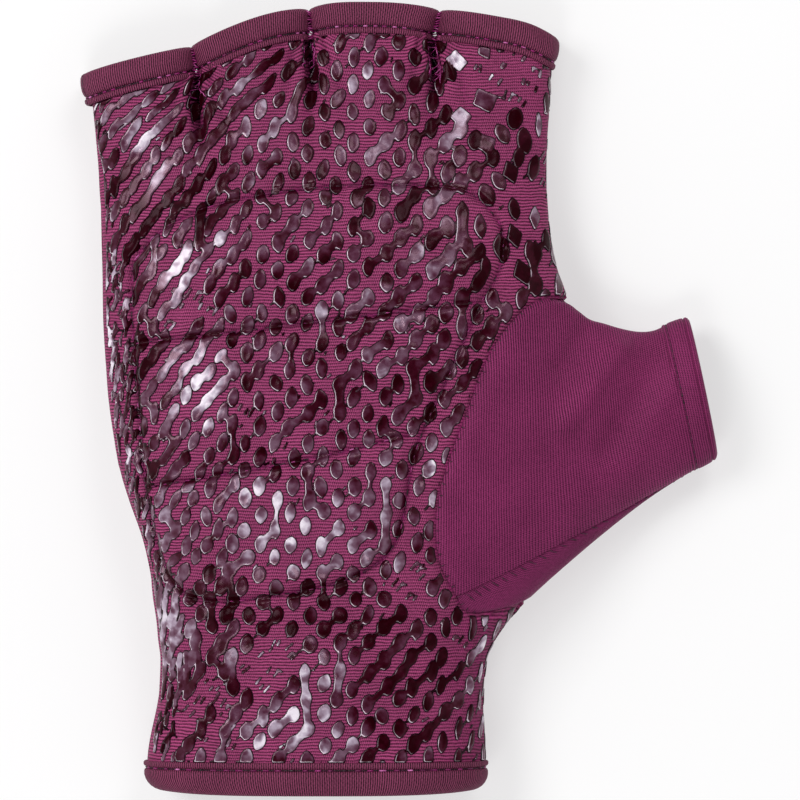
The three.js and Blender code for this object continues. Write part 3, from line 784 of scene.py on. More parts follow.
def thumb_surface(half, share, along):
    """Points of the thumb's outer face, rolled in at its seams, their normals and the plain tube's points."""
    step = 0.01
    point = thumb_point(half, share, along)
    across = thumb_point(half, share + step, along) - thumb_point(half, share - step, along)
    ahead = thumb_point(half, share, along + step) - thumb_point(half, share, np.maximum(0, along - step))
    normal = unit(np.cross(across, ahead))
    mouth = thumb_point(half, share, np.ones_like(along))
    seam = thumb_point(half, share, np.zeros_like(along))
    from_seam = np.linalg.norm(mouth - seam, axis=-1) - np.linalg.norm(mouth - point, axis=-1)
    from_seam = np.maximum(0, from_seam)
    from_side = np.minimum(share, 1 - share) * THUMB_GIRTH
    roll = SEAM_ROLL * bell(from_seam, SEAM_REACH) + half["side_roll"] * bell(from_side, 1)
    relief = thumb_relief(point[..., 0], point[..., 1]) * smooth(0, 4, from_seam) * half["relief"]
    return lifted_to(point + normal * (relief - roll)[..., None], THUMB_REST), normal, point


def thumb_cloth(name, half, cells, material, uv_of):
    share, along = np.meshgrid(np.linspace(0, 1, cells[0] + 1), np.linspace(0, 1, cells[1] + 1))
    outer, normal, point = thumb_surface(half, share, along)
    inner = lifted_to(point - normal * CLOTH, CLOTH)
    faces = (outer.reshape(-1, 3), inner.reshape(-1, 3))
    uv = uv_of(share, along, point).reshape(-1, 2)
    no_triangles = np.zeros((0, 3), int)
    return shell_piece(name, faces, grid_squares(share.shape), no_triangles, uv, material)


THUMB_FRONT = {
    "rim": seam_rim([(FRONT_SEAM, 1)]), "turn_from": 0, "turn_to": math.pi, "spread": 1,
    "side_roll": 0.0, "relief": 1.0,
}
THUMB_BACK = {
    "rim": seam_rim([(HEEL_SEAM, 1), (BACK_SEAM, -1)]), "turn_from": math.pi, "turn_to": 2 * math.pi,
    "spread": THUMB_BACK_SPREAD, "side_roll": 0.35, "relief": 0.3,
}


def front_ribs(share, along, point):
    """The front panel's ribs run along the hand and fan out to lie along the hem."""
    x, y = point[..., 0], point[..., 1]
    fan = 0.21 * smooth(18, 62, x) * (y - 2.4)
    return np.stack([x + fan + 0.25 * ripple(x, y, 30, 6), y], axis=-1)


def back_ribs(share, along, point):
    return np.stack([along * 52 - share * 40, share * 70], axis=-1)


def pressed_height(height):
    """Height of tape on the surface: what would lie below is pressed into a thin layer just above it."""
    sunk = np.minimum(height, 0)
    raised = np.maximum(height, 0)
    return raised + PRESSED_LAYER * np.exp(sunk / PRESSED_REACH - raised / PRESSED_LAYER)


def band_mesh(name, steps, profile, face, section, material, lengthwise=False):
    """A closed folded band: the profile swept round a mouth, with ribs across it or lengthwise."""
    along, out = column(profile, "along"), column(profile, "out")
    way_round = way_of(section, BAND_MIDDLE, face)
    turns = even_turns(way_round, steps)
    points = section(turns[:-1, None], along[None, :], out[None, :])
    points[..., 2] = pressed_height(points[..., 2])
    around = way_along(way_round(turns))
    loop = np.stack([along, out], axis=1)
    across = way_along(np.vstack([loop, loop[:1]]))
    rows = len(profile)
    k, i = np.meshgrid(np.arange(steps), np.arange(rows), indexing="ij")
    corner_k = np.stack([k, k, k + 1, k + 1], axis=-1).reshape(-1, 4)
    corner_i = np.stack([i, i + 1, i + 1, i], axis=-1).reshape(-1, 4)
    faces = (corner_k % steps) * rows + corner_i % rows
    flat = points.reshape(-1, 3)
    first, second, third = (flat[faces[:, n]] for n in range(3))
    if np.einsum("ij,ij->i", first, np.cross(second, third)).sum() < 0:
        faces, corner_k, corner_i = faces[:, ::-1], corner_k[:, ::-1], corner_i[:, ::-1]
    uv = np.stack([around[corner_k], across[corner_i]], axis=-1).reshape(-1, 2)
    uv = uv[:, ::-1] if lengthwise else uv
    return add_piece(name, flat, [faces], material, uv, crease=65)


def even_turns(way_round, steps):
    """Turns from the lowest place on that divide a mouth into steps of one length."""
    dense = -math.pi / 2 + np.linspace(0, 2 * math.pi, 3000)
    way = way_along(way_round(dense))
    return np.interp(np.linspace(0, way[-1], steps + 1), way, dense)


def mouth_place(turn, half_width, half_height, power):
    """Place and outward side on a rounded mouth at a turn."""
    def curve(value, exponent):
        return np.sign(value) * np.abs(value) ** exponent

    turn, half_width = np.broadcast_arrays(turn, half_width)
    a, b = curve(np.cos(turn), 2 / power), curve(np.sin(turn), 2 / power)
    outward = unit(np.stack([curve(a, power - 1) / half_width, curve(b, power - 1) / half_height], axis=-1))
    return half_width * a, half_height * b, outward


def finger_section(finger):
    """Function that places points of one finger's band."""
    start_share, end_share = finger["from"], finger["to"]
    edge_y = finger_edge(np.array([(start_share + end_share) / 2]))
    left, right = (edge[0] for edge in hand_edges(edge_y))
    depth = look_up(HAND_SECTIONS, "y", "depth", edge_y)[0]

    def section(turn, along, out):
        clear = BAND_CLEAR - BAND_CLOSE * smooth(3.5, 6.2, along)
        start = mix(left, right, start_share) + (clear if start_share > 0 else -SIDE_PROUD)
        end = mix(left, right, end_share) - (clear if end_share < 1 else 0)
        half_width = (end - start) / 2
        across, up, outward = mouth_place(turn, half_width, UPPER_SHARE * depth, FINGER_POWER)
        x = start + half_width + across + outward[..., 0] * out
        share = np.clip((x - left) / (right - left), start_share, end_share)
        lean = look_up(FINGER_EDGE, "share", "lean", share) * along
        z = (1 - UPPER_SHARE) * depth + up + outward[..., 1] * out
        return np.stack([x + lean, finger_edge(share) + along, z], axis=-1)

    return section


def cuff_section(turn, along, out):
    along = along * CUFF_BAND / FINGER_BAND
    y = CUFF_Y - along
    left, right = hand_edges(y)
    depth = look_up(HAND_SECTIONS, "y", "depth", y)
    half_width = (right - left) / 2 - CUFF_ROUND * np.clip(along / CUFF_BAND, 0, 1) ** 5
    across, up, outward = mouth_place(turn, half_width, UPPER_SHARE * depth, HAND_POWER)
    x = (left + right) / 2 + across + outward[..., 0] * out
    z = (1 - UPPER_SHARE) * depth + up + outward[..., 1] * out
    bow = CUFF_BOW * along / CUFF_BAND * (across / half_width) ** 4
    return np.stack([x, y + bow, z], axis=-1)


def hem_section(turn, along, out):
    turn, along, out = np.broadcast_arrays(turn, along, out)
    point, outward, way = thumb_mouth(turn)
    return point - way * (HEM_BAND - along)[..., None] + outward * out[..., None]


def way_of(section, along, out):
    """The path round a band at one place of its profile."""
    return lambda turn: section(turn, np.full(turn.shape, float(along)), np.full(turn.shape, float(out)))


def cells_near(cells, places, reach):
    """The slice of evenly spaced cells that lies within reach of some places."""
    cell = cells[1] - cells[0]
    first = max(0, int((min(places) - reach - cells[0]) / cell))
    last = min(len(cells), int((max(places) + reach - cells[0]) / cell) + 2)
    return slice(first, max(first, last))


def drop_field(cells_x, cells_y, groups):
    """Signed distance to groups of drops on a grid, and which group is nearest."""
    field = np.full((len(cells_y), len(cells_x)), FAR)
    owner = np.zeros(field.shape, int)
    for number, group in enumerate(groups):
        reach = max(shape["reach"] for shape in group["shapes"]) + DROP_MARGIN
        columns = cells_near(cells_x, [shape["x"] for shape in group["shapes"]], reach)
        rows = cells_near(cells_y, [shape["y"] for shape in group["shapes"]], reach)
        x, y = np.meshgrid(cells_x[columns], cells_y[rows])
        local = np.full(x.shape, FAR)
        for shape in group["shapes"]:
            local = soft_union(local, shape_distance(shape, x, y), DROP_BLEND)
        nearer = local < field[rows, columns]
        field[rows, columns][nearer] = local[nearer]
        owner[rows, columns][nearer] = number
    return field, owner


def soft_union(a, b, blend):
    share = np.clip(0.5 + 0.5 * (b - a) / blend, 0, 1)
    return mix(b, a, share) - blend * share * (1 - share)


def shape_distance(shape, x, y):
    """Distance to one leaf, diamond or bar of film, negative within it."""
    dx, dy = x - shape["x"], y - shape["y"]
    cos, sin = math.cos(shape["lean"]), math.sin(shape["lean"])
    across, along = np.abs(dx * cos - dy * sin), np.abs(dx * sin + dy * cos)
    wide, tall, soft = shape["wide"], shape["tall"], shape["soft"]
    if shape["kind"] == "bar":
        return np.hypot(across, np.maximum(0, along - tall)) - wide
    if shape["kind"] == "diamond":
        slope = math.hypot(wide, tall)
        straight = (across * tall + along * wide) / slope - wide * tall / slope
        return straight + soft * ((across / wide) ** 4 + (along / tall) ** 4)
    wide, tall = wide - soft, tall - soft
    offset = (tall**2 - wide**2) / (2 * wide)
    beyond = (along - tall) * offset > across * tall
    tip = np.hypot(across, along - tall)
    side = np.hypot(across + offset, along) - wide - offset
    return np.where(beyond, tip, side) - soft


def film_shape(kind, x, y, wide, tall, lean, soft=0.35):
    """One leaf, diamond or bar of film at a place, with its half sizes and its lean in degrees."""
    reach = math.hypot(wide, tall) + (wide if kind == "bar" else 0)
    return {
        "kind": kind, "x": x, "y": y, "wide": wide, "tall": tall, "lean": math.radians(lean),
        "soft": soft, "reach": reach,
    }


def neck(a, b, wide):
    """A bar of film that joins two places."""
    lean = math.degrees(math.atan2(b[0] - a[0], b[1] - a[1]))
    length = math.hypot(b[0] - a[0], b[1] - a[1]) / 2
    return film_shape("bar", (a[0] + b[0]) / 2, (a[1] + b[1]) / 2, wide, length, lean)


def spot_weight(spot, x, y, wide, tall):
    return np.exp(-(((x - spot["x"]) / wide) ** 2) - ((y - spot["y"]) / tall) ** 2)


def tone_at(x, y):
    """The film's tone at places on the palm: its own colour with random differences, painted reflections from
    the spots, and painted shade by the grooves and in the gathers.
    """
    tone = PLAIN_TONE + 0.1 * ripple(x, y, 22, 7) + 0.08 * ripple(x, y, 8, 8)
    for spot in TONE_AND_REFLECTION_SPOTS:
        weight = spot_weight(spot, x, y, spot["wide"], spot["tall"])
        tone = mix(tone, spot["tone"], np.minimum(1, 1.25 * weight))
    _, gathers = gather_folds(x, y)
    # Painted shade: the film turns near black by the grooves and in the gathers.
    return mix(tone, GROOVE_SHADE_TONE, np.maximum(0.8 * groove_nearness(x, y, 0.65), 0.95 * gathers))


def zone_at(x, y):
    """How the print's drops merge, how big and how round they are and how they lean at a place."""
    weights = np.array([spot_weight(zone, x, y, zone["wide"], zone["tall"]) for zone in PRINT_ZONES])
    weights = np.append(weights, PLAIN_WEIGHT)
    zones = PRINT_ZONES + [PLAIN_ZONE]
    names = ("merge", "rise", "size", "slim", "lean")
    return {name: float(np.dot(weights, column(zones, name)) / weights.sum()) for name in names}


def lattice_x():
    """Columns of the print, closer together on the little finger's side."""
    places = [0.0]
    while places[-1] < LATTICE_RIGHT:
        places.append(places[-1] + DROP_STEP_X)
    while places[0] > LATTICE_LEFT:
        step = mix(DROP_STEP_X, SIDE_STEP_X, float(smooth(-22, -40, places[0])))
        places.insert(0, places[0] - step)
    return places


def palm_groups():
    """The palm's snake-skin print: drops, chains of them, dashes and side streaks."""
    source = random_source(10)
    sites = {}
    for j in range(-LATTICE_ROWS, LATTICE_ROWS + 1):
        for i, column_x in enumerate(lattice_x()):
            if (i + j) % 2:
                continue
            x = column_x + source.normal(0, 0.3)
            y = j * DROP_STEP_Y + source.normal(0, 0.28)
            sites[i, j] = (x, y, source.random(5)[0])
    groups = []
    taken = set()
    for (i, j), (x, y, chance) in sites.items():
        if (i, j) in taken:
            continue
        near = min(math.hypot(x - drop["x"], y - drop["y"]) - drop["tall"] for drop in LARGE_DROPS)
        bald = max(float(spot_weight(spot, x, y, spot["size"], spot["size"])) for spot in BALD_SPOTS)
        side = x - hand_edges(np.array([min(y, 60.0)]))[0][0]
        if near < DROP_GAP or side < streak_reach(y):
            continue
        if bald > BALD_SHARE:
            groups += dash_groups(x, y, source)
            continue
        zone = zone_at(x, y)
        path = [(x, y)]
        if chance < zone["merge"]:
            path += chain_from(i, j, sites, taken, zone, source)
        groups.append(chain_group(path, zone, source))
    for drop in LARGE_DROPS:
        groups.append(large_group(drop, source))
    groups += streak_groups(source)
    groups += crumb_groups(source)
    return groups


def group_of(shapes, shade, tilt=(0.0, 0.0), fade=(0.0, 0.0), fine=False):
    """Shapes of film that join, how their tone differs, how their top tilts, and a painted reflection that
    grows lighter to one side across them.
    """
    return {"shapes": shapes, "shade": shade, "tilt": tilt, "fade": fade, "fine": fine}


def chain_from(i, j, sites, taken, zone, source):
    """Further sites that one drop runs on into, mostly up and towards the thumb."""
    path = []
    for _ in range(int(source.integers(1, 3 + round(5 * zone["merge"])))):
        step = (1, 1) if source.random() < zone["rise"] else ((0, 2) if source.random() < 0.45 else (-1, 1))
        i, j = i + step[0], j + step[1]
        if (i, j) not in sites or (i, j) in taken:
            break
        taken.add((i, j))
        path.append(sites[i, j][:2])
    return path


def chain_group(path, zone, source):
    """One drop, or several that run into each other."""
    shapes = []
    for x, y in path:
        lean = source.normal(zone["lean"], 9)
        wide = source.uniform(1.12, 1.44) * zone["size"] * zone["slim"]
        tall = source.uniform(1.65, 2.15) * zone["size"] / zone["slim"] ** 0.6
        shapes.append(film_shape("leaf", x, y, wide, tall, lean, source.uniform(0.3, 0.8) * min(1, wide)))
    for a, b in zip(path, path[1:]):
        shapes.append(neck(a, b, source.uniform(0.3, 0.85) * zone["size"] + 0.3 * zone["merge"]))
    if source.random() < 0.14:
        x, y = path[0]
        end = (x - source.uniform(1.4, 2.6), y - source.uniform(1.4, 2.8))
        shapes.append(neck((x, y), end, THIN_NECK))
    # Painted reflection: the tone grows lighter to one side of the drop.
    way = source.uniform(0, 2 * math.pi)
    strength = 0.04 if len(path) > 2 else 0.11
    fade = (strength * math.cos(way), strength * math.sin(way))
    return group_of(shapes, source.normal(0, 0.07), source.normal(0, 0.05, 2), fade)


def large_group(drop, source):
    """One of the large scales near the index finger, some with a thin tail."""
    shapes = [film_shape(drop["kind"], drop["x"], drop["y"], drop["wide"], drop["tall"], drop["lean"], 0.24)]
    if drop["tail"]:
        middle = (drop["x"] + drop["wide"] + 0.9, drop["y"] + 0.5)
        shapes.append(neck((drop["x"] + 0.6 * drop["wide"], drop["y"] + 0.9), middle, 0.26))
        shapes.append(neck(middle, (middle[0] + 0.9, middle[1] + 1.5), THIN_NECK))
    shade = drop["tone"] - float(tone_at(drop["x"], drop["y"]))
    return group_of(shapes, shade, source.normal(0, 0.02, 2), (0.0, 0.04))


def dash_groups(x, y, source):
    """A few short parallel bars of film, some of them hooked, where the print is bare."""
    groups = []
    lean = source.normal(38, 6)
    sin, cos = math.sin(math.radians(lean)), math.cos(math.radians(lean))
    for number in range(int(source.integers(1, 4))):
        at_x, at_y = (x, y) + np.array([cos, -sin]) * (1.35 * number - 1.3) + source.normal(0, 0.25, 2)
        tall = source.uniform(0.3, 0.9)
        shapes = [film_shape("bar", at_x, at_y, 0.28, tall, lean)]
        if source.random() < 0.15:
            tip_x, tip_y = at_x + tall * sin, at_y + tall * cos
            shapes.append(neck((tip_x, tip_y), (tip_x + 0.8, tip_y - 0.3), THIN_NECK))
        groups.append(group_of(shapes, source.normal(0.15, 0.2), fine=True))
    return groups


def crumb_groups(source):
    """Small dashes and dots between the drops."""
    groups = []
    for _ in range(CRUMBS):
        x, y = source.uniform(-60, 36), source.uniform(-72, 72)
        wide, tall = source.uniform(0.22, 0.3), source.uniform(0.1, 0.7)
        shapes = [film_shape("bar", x, y, wide, tall, source.normal(38, 12))]
        groups.append(group_of(shapes, source.normal(0, 0.2), fine=True))
    return groups


def streak_reach(y):
    """How far in from the little finger's side the streaks run at a height."""
    upper = 6.3 * float(smooth(14, 40, y))
    lower = 3.0 * float(smooth(-14, -30, y)) - 2.3 * float(smooth(-34, -48, y))
    return 5.8 - upper - lower


def streak_groups(source):
    """Long tangled streaks along the little finger's side, where the print is dense."""
    groups = []
    for y in np.arange(-72, 58, STREAK_PITCH):
        left = hand_edges(np.array([y]))[0][0]
        sheet = float(smooth(-30, -44, y) * smooth(-66, -56, y))
        for lane in range(STREAK_LANES):
            x = left - 5.0 + LANE_STEP * lane + source.normal(0, 0.45)
            if source.random() < 0.1 + 0.03 * lane * (1 - sheet) or x - left > streak_reach(y):
                continue
            length = source.uniform(1.4, 4.0)
            lean = source.normal(14, 8)
            top = (x + length * math.sin(math.radians(lean)), y + length)
            middle = ((x + top[0]) / 2 + source.normal(0, 0.3), (y + top[1]) / 2)
            wide = source.uniform(0.3, 0.62) + 0.42 * sheet
            shapes = [neck((x, y), middle, wide), neck(middle, top, wide * source.uniform(0.5, 1.1))]
            if source.random() < 0.35:
                end = (middle[0] + source.uniform(0.8, 2), middle[1] + source.uniform(-1, 2))
                shapes.append(neck(middle, end, THIN_NECK))
            shade = source.normal(0, 0.24 - 0.16 * sheet)
            groups.append(group_of(shapes, shade, source.normal(0, 0.03, 2), (0.0, -0.03), fine=wide < 0.5))
    return groups


def back_groups():
    """Plain staggered drops on the back of the hand."""
    source = random_source(20)
    groups = []
    for j in range(-28, 30):
        for i in range(-24, 24):
            if (i + j) % 2:
                continue
            x = i * DROP_STEP_X + source.normal(0, 0.15)
            y = j * DROP_STEP_Y + source.normal(0, 0.15)
            shapes = [film_shape("leaf", x, y, 1.2, 1.85, source.normal(-12, 4), 0.5)]
            shade = source.normal(0, 0.06)
            groups.append(group_of(shapes, shade, source.normal(0, 0.03, 2), (0.0, 0.03)))
    return groups


def contour_faces(field):
    """Polygons of a grid's cells within the line where field is 0, as node and crossing numbers."""
    size = field.size
    node = np.arange(size).reshape(field.shape)
    flat_edge, up_edge = size + node, 2 * size + node
    corner = cell_corners(node)
    edge = [flat_edge[:-1, :-1], up_edge[:-1, 1:], flat_edge[1:, :-1], up_edge[:-1, :-1]]
    case = sum(flag.astype(int) << n for n, flag in enumerate(cell_corners(field < 0)))
    polygons, walls = [], []
    for code in range(1, 16):
        cells = case == code
        if not cells.any():
            continue
        ring = []
        for n in range(4):
            here, after = code >> n & 1, code >> ((n + 1) % 4) & 1
            if here:
                ring.append(corner[n][cells])
            if here != after:
                ring.append(edge[n][cells])
        polygons.append(np.stack(ring, axis=1))
        for a, b in zip(ring, ring[1:] + ring[:1]):
            if ((a >= size) & (b >= size)).all():
                walls.append(np.stack([a, b], axis=1))
    return polygons, np.vstack(walls)


def film_field(x, y, side, groups, hole):
    """Where film lies on a grid: a field below 0 within it, its groups and the share of the width."""
    field, owner = drop_field(x[0], y[:, 0], groups)
    field = field + 0.08 * ripple(x, y, 2.2, 12)
    tables = arc_table(y[:, 0], side)
    share = np.stack([np.interp(row, t[0], t[1]) for row, t in zip(x, tables)])
    edge_left, edge_right = (np.array([t[0][end] for t in tables])[:, None] for end in (0, -1))
    plan = hand_point(share, y, side)
    limits = [
        edge_left + FILM_MARGIN - x, x - edge_right + 0.4, y - finger_edge(share) - 0.1, CUFF_Y - y - 0.1,
        HOLE_MARGIN - outside_distance(plan[..., 0], plan[..., 1], hole),
    ]
    return np.maximum.reduce([field] + limits), owner, share


def film_piece(name, side, cell, groups, hole, material):
    """The raised print on one side of the hand: every drop a rounded plateau with walls."""
    x, y = np.meshgrid(np.arange(-74, 52, cell), np.arange(CUFF_Y - 0.4, 74, cell))
    field, owner, share = film_field(x, y, side, groups, hole)
    polygons, walls = contour_faces(field)
    size = field.size
    used = np.unique(corners_of(polygons + [walls]))
    kind, base = used // size, used % size
    other = base + np.where(kind == 1, 1, 0) + np.where(kind == 2, field.shape[1], 0)
    a, b = field.ravel()[base], field.ravel()[other]
    t = np.where(kind > 0, a / np.where(kind > 0, a - b, 1), 0)

    def crossing(grid):
        return mix(grid.ravel()[base], grid.ravel()[other], t)

    point = np.stack([crossing(x), crossing(y)], axis=1)
    depth = np.where(kind > 0, 0, -a)
    group = owner.ravel()[np.where(a < 0, base, other)]
    keys = ("tilt", "shade", "fade", "fine")
    tilt, shade, fade, fine = (np.array([g[key] for g in groups])[group] for key in keys)
    centre = np.array([np.mean([(s["x"], s["y"]) for s in g["shapes"]], axis=0) for g in groups])
    offset = point - centre[group]
    lone = np.array([len(g["shapes"]) == 1 for g in groups])[group]
    lean = np.where(lone, np.sum(tilt * offset, axis=1), 0)
    inner = 1 - bell(depth, FILM_ROUND)
    lift = FILM_EDGE + (FILM_HEIGHT - FILM_EDGE) * inner + lean * inner
    lift = lift + inner * 0.035 * ripple(point[:, 0], point[:, 1], 2.6, 13) - 0.06 * smooth(0.3, 1.4, depth)
    top = hand_surface(crossing(share), point[:, 1], side, lift)
    low = hand_surface(crossing(share), point[:, 1], side, FILM_SKIRT)
    # Tone: the film's own colour with random differences, painted reflections, painted shade by the grooves
    # and gathers, and each group's painted reflection gradient.
    tone = np.clip(tone_at(top[:, 0], top[:, 1]), 0, 1) if side > 0 else PLAIN_TONE
    tone = np.clip(tone + shade + np.clip(np.sum(fade * offset, axis=1), -0.3, 0.3), 0, 1)
    # Which way each edge faces, for the painted highlight fringe on edges that face the lower left.
    slope_y, slope_x = np.gradient(field, cell)
    steep = np.maximum(np.hypot(slope_x, slope_y), 0.3)
    facing = crossing((HIGHLIGHT_FRINGE_WAY[0] * slope_x + HIGHLIGHT_FRINGE_WAY[1] * slope_y) / steep)
    values = {
        "tone": np.tile(tone, 2), "facing": np.tile(facing, 2),
        "depth": np.concatenate([depth * np.where(fine, FINE_DEPTH, 1), np.zeros(len(used))]),
    }
    place = new_numbers(used, 3 * size)
    a, b = place[walls[:, 0]], place[walls[:, 1]]
    wall = np.stack([b, a, a + len(used), b + len(used)], axis=1)
    faces = [place[polygon] for polygon in polygons] + [wall]
    keep = np.unique(corners_of(faces))
    fresh = new_numbers(keep, 2 * len(used))
    faces = [fresh[face][:, ::side] for face in faces]
    values = {key: value[keep] for key, value in values.items()}
    points = np.vstack([top, low])[keep]
    return add_piece(name, points, faces, material, values=values, crease=180)


def thread_mesh(stitches, sides=7):
    """Joined round threads with closed, tapered ends: each has a path, a radius and a tone."""
    points, squares, caps, tones = [], [], [], []
    base = 0
    for path, radius, tone in stitches:
        path = np.asarray(path)
        tangent = unit(np.gradient(path, axis=0))
        helper = np.where(np.abs(tangent[:, 2:3]) > 0.9, [[1.0, 0, 0]], [[0, 0, 1.0]])
        side = unit(np.cross(tangent, helper))
        up = np.cross(side, tangent)
        ends = np.minimum(np.arange(len(path)), np.arange(len(path))[::-1])
        wide = radius * np.where(ends == 0, 0.45, 1)
        turn = np.arange(sides) * 2 * math.pi / sides
        ring = np.cos(turn)[None, :, None] * side[:, None] + np.sin(turn)[None, :, None] * up[:, None]
        points.append((path[:, None] + ring * wide[:, None, None]).reshape(-1, 3))
        k, i = np.meshgrid(np.arange(len(path) - 1), np.arange(sides), indexing="ij")
        j = (i + 1) % sides
        faces = np.stack([k * sides + i, (k + 1) * sides + i, (k + 1) * sides + j, k * sides + j], axis=-1)
        squares.append(base + faces.reshape(-1, 4))
        caps.append(base + np.arange(sides))
        caps.append(base + (len(path) - 1) * sides + np.arange(sides)[::-1])
        tones.append(np.full(len(path) * sides, tone))
        base += len(path) * sides
    return np.vstack(points), [np.vstack(squares), np.array(caps)], {"tone": np.concatenate(tones)}


def stitch_row(surface, length, look, source):
    """Single stitches along a line: surface gives its points at a way and a lift."""
    stitches = []
    count = max(1, int(length / look["pitch"]))
    for number in range(count):
        start = number * length / count + source.normal(0, 0.05)
        ways = start + np.linspace(0, look["pitch"] * look["share"] * source.uniform(0.75, 1.15), 7)
        lifts = mix(-look["sink"], look["rise"], arch(7) ** 0.7)
        tone = np.clip(source.normal(look["tone"], look["spread"]), 0, 1)
        stitches.append((surface(ways, lifts), look["radius"], tone))
    return stitches


PAD_STITCH, TAPE_STITCH, CUFF_STITCH, HEM_STITCH_LOOK = rows_of("pitch share sink rise radius tone spread", [
    (2.3, 0.62, 0.12, 0.16, 0.15, 0.22, 0.22), (1.9, 0.6, 0.25, 0.14, 0.18, 0.4, 0.28),
    (2.6, 0.6, 0.25, 0.14, 0.18, 0.34, 0.26), (1.5, 0.5, 0.12, 0.2, 0.15, 0.08, 0.08),
])


def arch(count):
    """Heights of a half wave at evenly spaced places: 0 at its ends and 1 in the middle."""
    return np.sin(np.linspace(0, math.pi, count))


def palm_stitches():
    """Stitches sunk in the grooves of the quilted pad."""
    source = random_source(31)
    stitches = []
    for line in PAD_LINES:
        even = even_points(line, 400)
        way = way_along(even)

        def surface(ways, lifts):
            plan = np.stack([np.interp(ways, way, even[:, k]) for k in range(2)], axis=1)
            return palm_at(plan, lifts)

        stitches += stitch_row(surface, way[-1], PAD_STITCH, source)
    return stitches


def band_stitches(section, along, out, look, step):
    """Stitches round a band along its stitch line, over one dark thread that joins them."""
    turns = even_turns(way_of(section, along, out), 600)
    lowest = look["radius"] + PRESSED_LAYER / 2
    path = lifted_to(way_of(section, along, out)(turns), lowest)
    way = way_along(path)

    def surface(ways, lifts):
        turn = np.interp(ways, way, turns)
        return lifted_to(section(turn, np.full(turn.shape, along), out + lifts), lowest)

    under = (path[::2], 0.6 * look["radius"], 0.0)
    return [under] + stitch_row(surface, way[-1], look, random_source(step))


def tape_join(section):
    """The thread that closes the little finger's band into a ring, near its outer side."""
    crown = TAPE_PROFILE[3:19]
    along = np.linspace(0.2, 6.2, 24)
    out = np.interp(along, column(crown, "along"), column(crown, "out"))
    return [(section(np.full(along.shape, JOIN_TURN), along, out), 0.13, 0.05)]


def seam_ticks():
    """Short stitches across the thumb's lower and front seams."""
    stitches = []
    for rows, count in ((FRONT_SEAM, 30), (HEEL_SEAM, 9)):
        even = even_points(rows, count)
        for a, b in zip(even[:-1], even[1:]):
            way = (b - a) / np.linalg.norm(b - a)
            across = np.array([-way[1], way[0]])
            plan = a + way * 0.4 + across * np.linspace(-0.1, 0.75, 5)[:, None]
            stitches.append((palm_at(plan, mix(-0.1, 0.1, arch(5))), 0.1, 0.05))
    return stitches


def lower_seam_ticks():
    """Stitches along the ridge where the thumb's front and back panels meet."""
    stitches = []
    for along in np.linspace(0.05, 0.97, 24):
        share, forward = np.linspace(0.006, 0.035, 5), along + np.linspace(0, 0.02, 5)
        point, normal, _ = thumb_surface(THUMB_BACK, share, forward)
        stitches.append((point + normal * mix(-0.1, 0.16, arch(5))[:, None], 0.11, 0.1))
    return stitches


def tack_threads():
    """Threads wound where two fingers' bands meet, and their loose ends."""
    source = random_source(30)
    stitches = []
    for number, (x, y) in enumerate(TACKS):
        lean = float(look_up(FINGER_EDGE, "share", "lean", np.array([FINGERS[number]["to"]]))[0])
        depth = float(look_up(HAND_SECTIONS, "y", "depth", np.array([y]))[0])
        middle = (1 - UPPER_SHARE) * depth + 0.5 * depth * TACK_HEIGHT
        for turn in range(TACK_TURNS):
            up = 0.4 + turn * 5.8 / TACK_TURNS + source.normal(0, 0.06)
            centre = np.array([x + lean * up, y + up, middle + source.normal(0, 0.1)])
            reach = source.uniform(0.7, 1.0)
            bend = np.linspace(-1, 1, 9)
            sway = source.normal(0, 0.3)
            path = centre + np.stack([bend * reach, bend * sway, 1.0 * (1 - bend**2) - 1.1], axis=1)
            stitches.append((path, 0.14, float(np.clip(source.normal(0.4, 0.18), 0.05, 0.8))))
        longest = number == LONG_ENDS_TACK
        for _ in range(5 if longest else 3):
            steps = source.normal(0, 0.3, (14, 2)) + np.array([0.0, -0.55 if longest else -0.35])
            plan = np.array([x, y + 0.4]) + np.cumsum(steps, axis=0)
            path = palm_at(plan, 0.1 + 0.25 * np.abs(np.sin(np.linspace(0, 6, 14))))
            stitches.append((even_points(path, 30), 0.11, 0.55))
    return stitches


# Softboxes of the studio, with sizes in metres and powers in watts.
SOFTBOXES = rows_of("name at size power", [
    ("key_box", (-0.9, 0.5, 1.25), 0.7, 11.5), ("finger_box", (0.45, 1.0, 1.35), 0.6, 5.5),
    ("cuff_box", (-0.3, -0.85, 1.3), 0.5, 4.5),
])


# Shader trees: colours are linear RGB.
def colour(red, green, blue):
    """Linear colour of sRGB values from 0 to 255."""
    values = [channel / 255 for channel in (red, green, blue)]
    return tuple(v / 12.92 if v <= 0.04045 else ((v + 0.055) / 1.055) ** 2.4 for v in values) + (1.0,)


def set_inputs(tree, node, inputs):
    """Joins a socket to each named input of a node, or sets the input to a value."""
    for key, value in inputs.items():
        if isinstance(value, bpy.types.NodeSocket):
            tree.links.new(value, node.inputs[key])
        else:
            node.inputs[key].default_value = value


def put(tree, kind, inputs=None, output=0, **settings):
    """Adds a node, joins or sets its inputs, and gives back one output."""
    made = tree.nodes.new(kind)
    for key, value in settings.items():
        setattr(made, key, value)
    set_inputs(tree, made, inputs or {})
    return made.outputs[output]


def blend_colours(tree, factor, a, b):
    return put(tree, "ShaderNodeMix", {0: factor, 6: a, 7: b}, output=2, data_type="RGBA")


def noise(tree, vector, scale, detail=2.0):
    return put(tree, "ShaderNodeTexNoise", {"Vector": vector, "Scale": scale, "Detail": detail})


def plus(tree, a, b):
    return put(tree, "ShaderNodeMath", {0: a, 1: b}, operation="ADD")


def times(tree, a, b):
    return put(tree, "ShaderNodeMath", {0: a, 1: b}, operation="MULTIPLY")


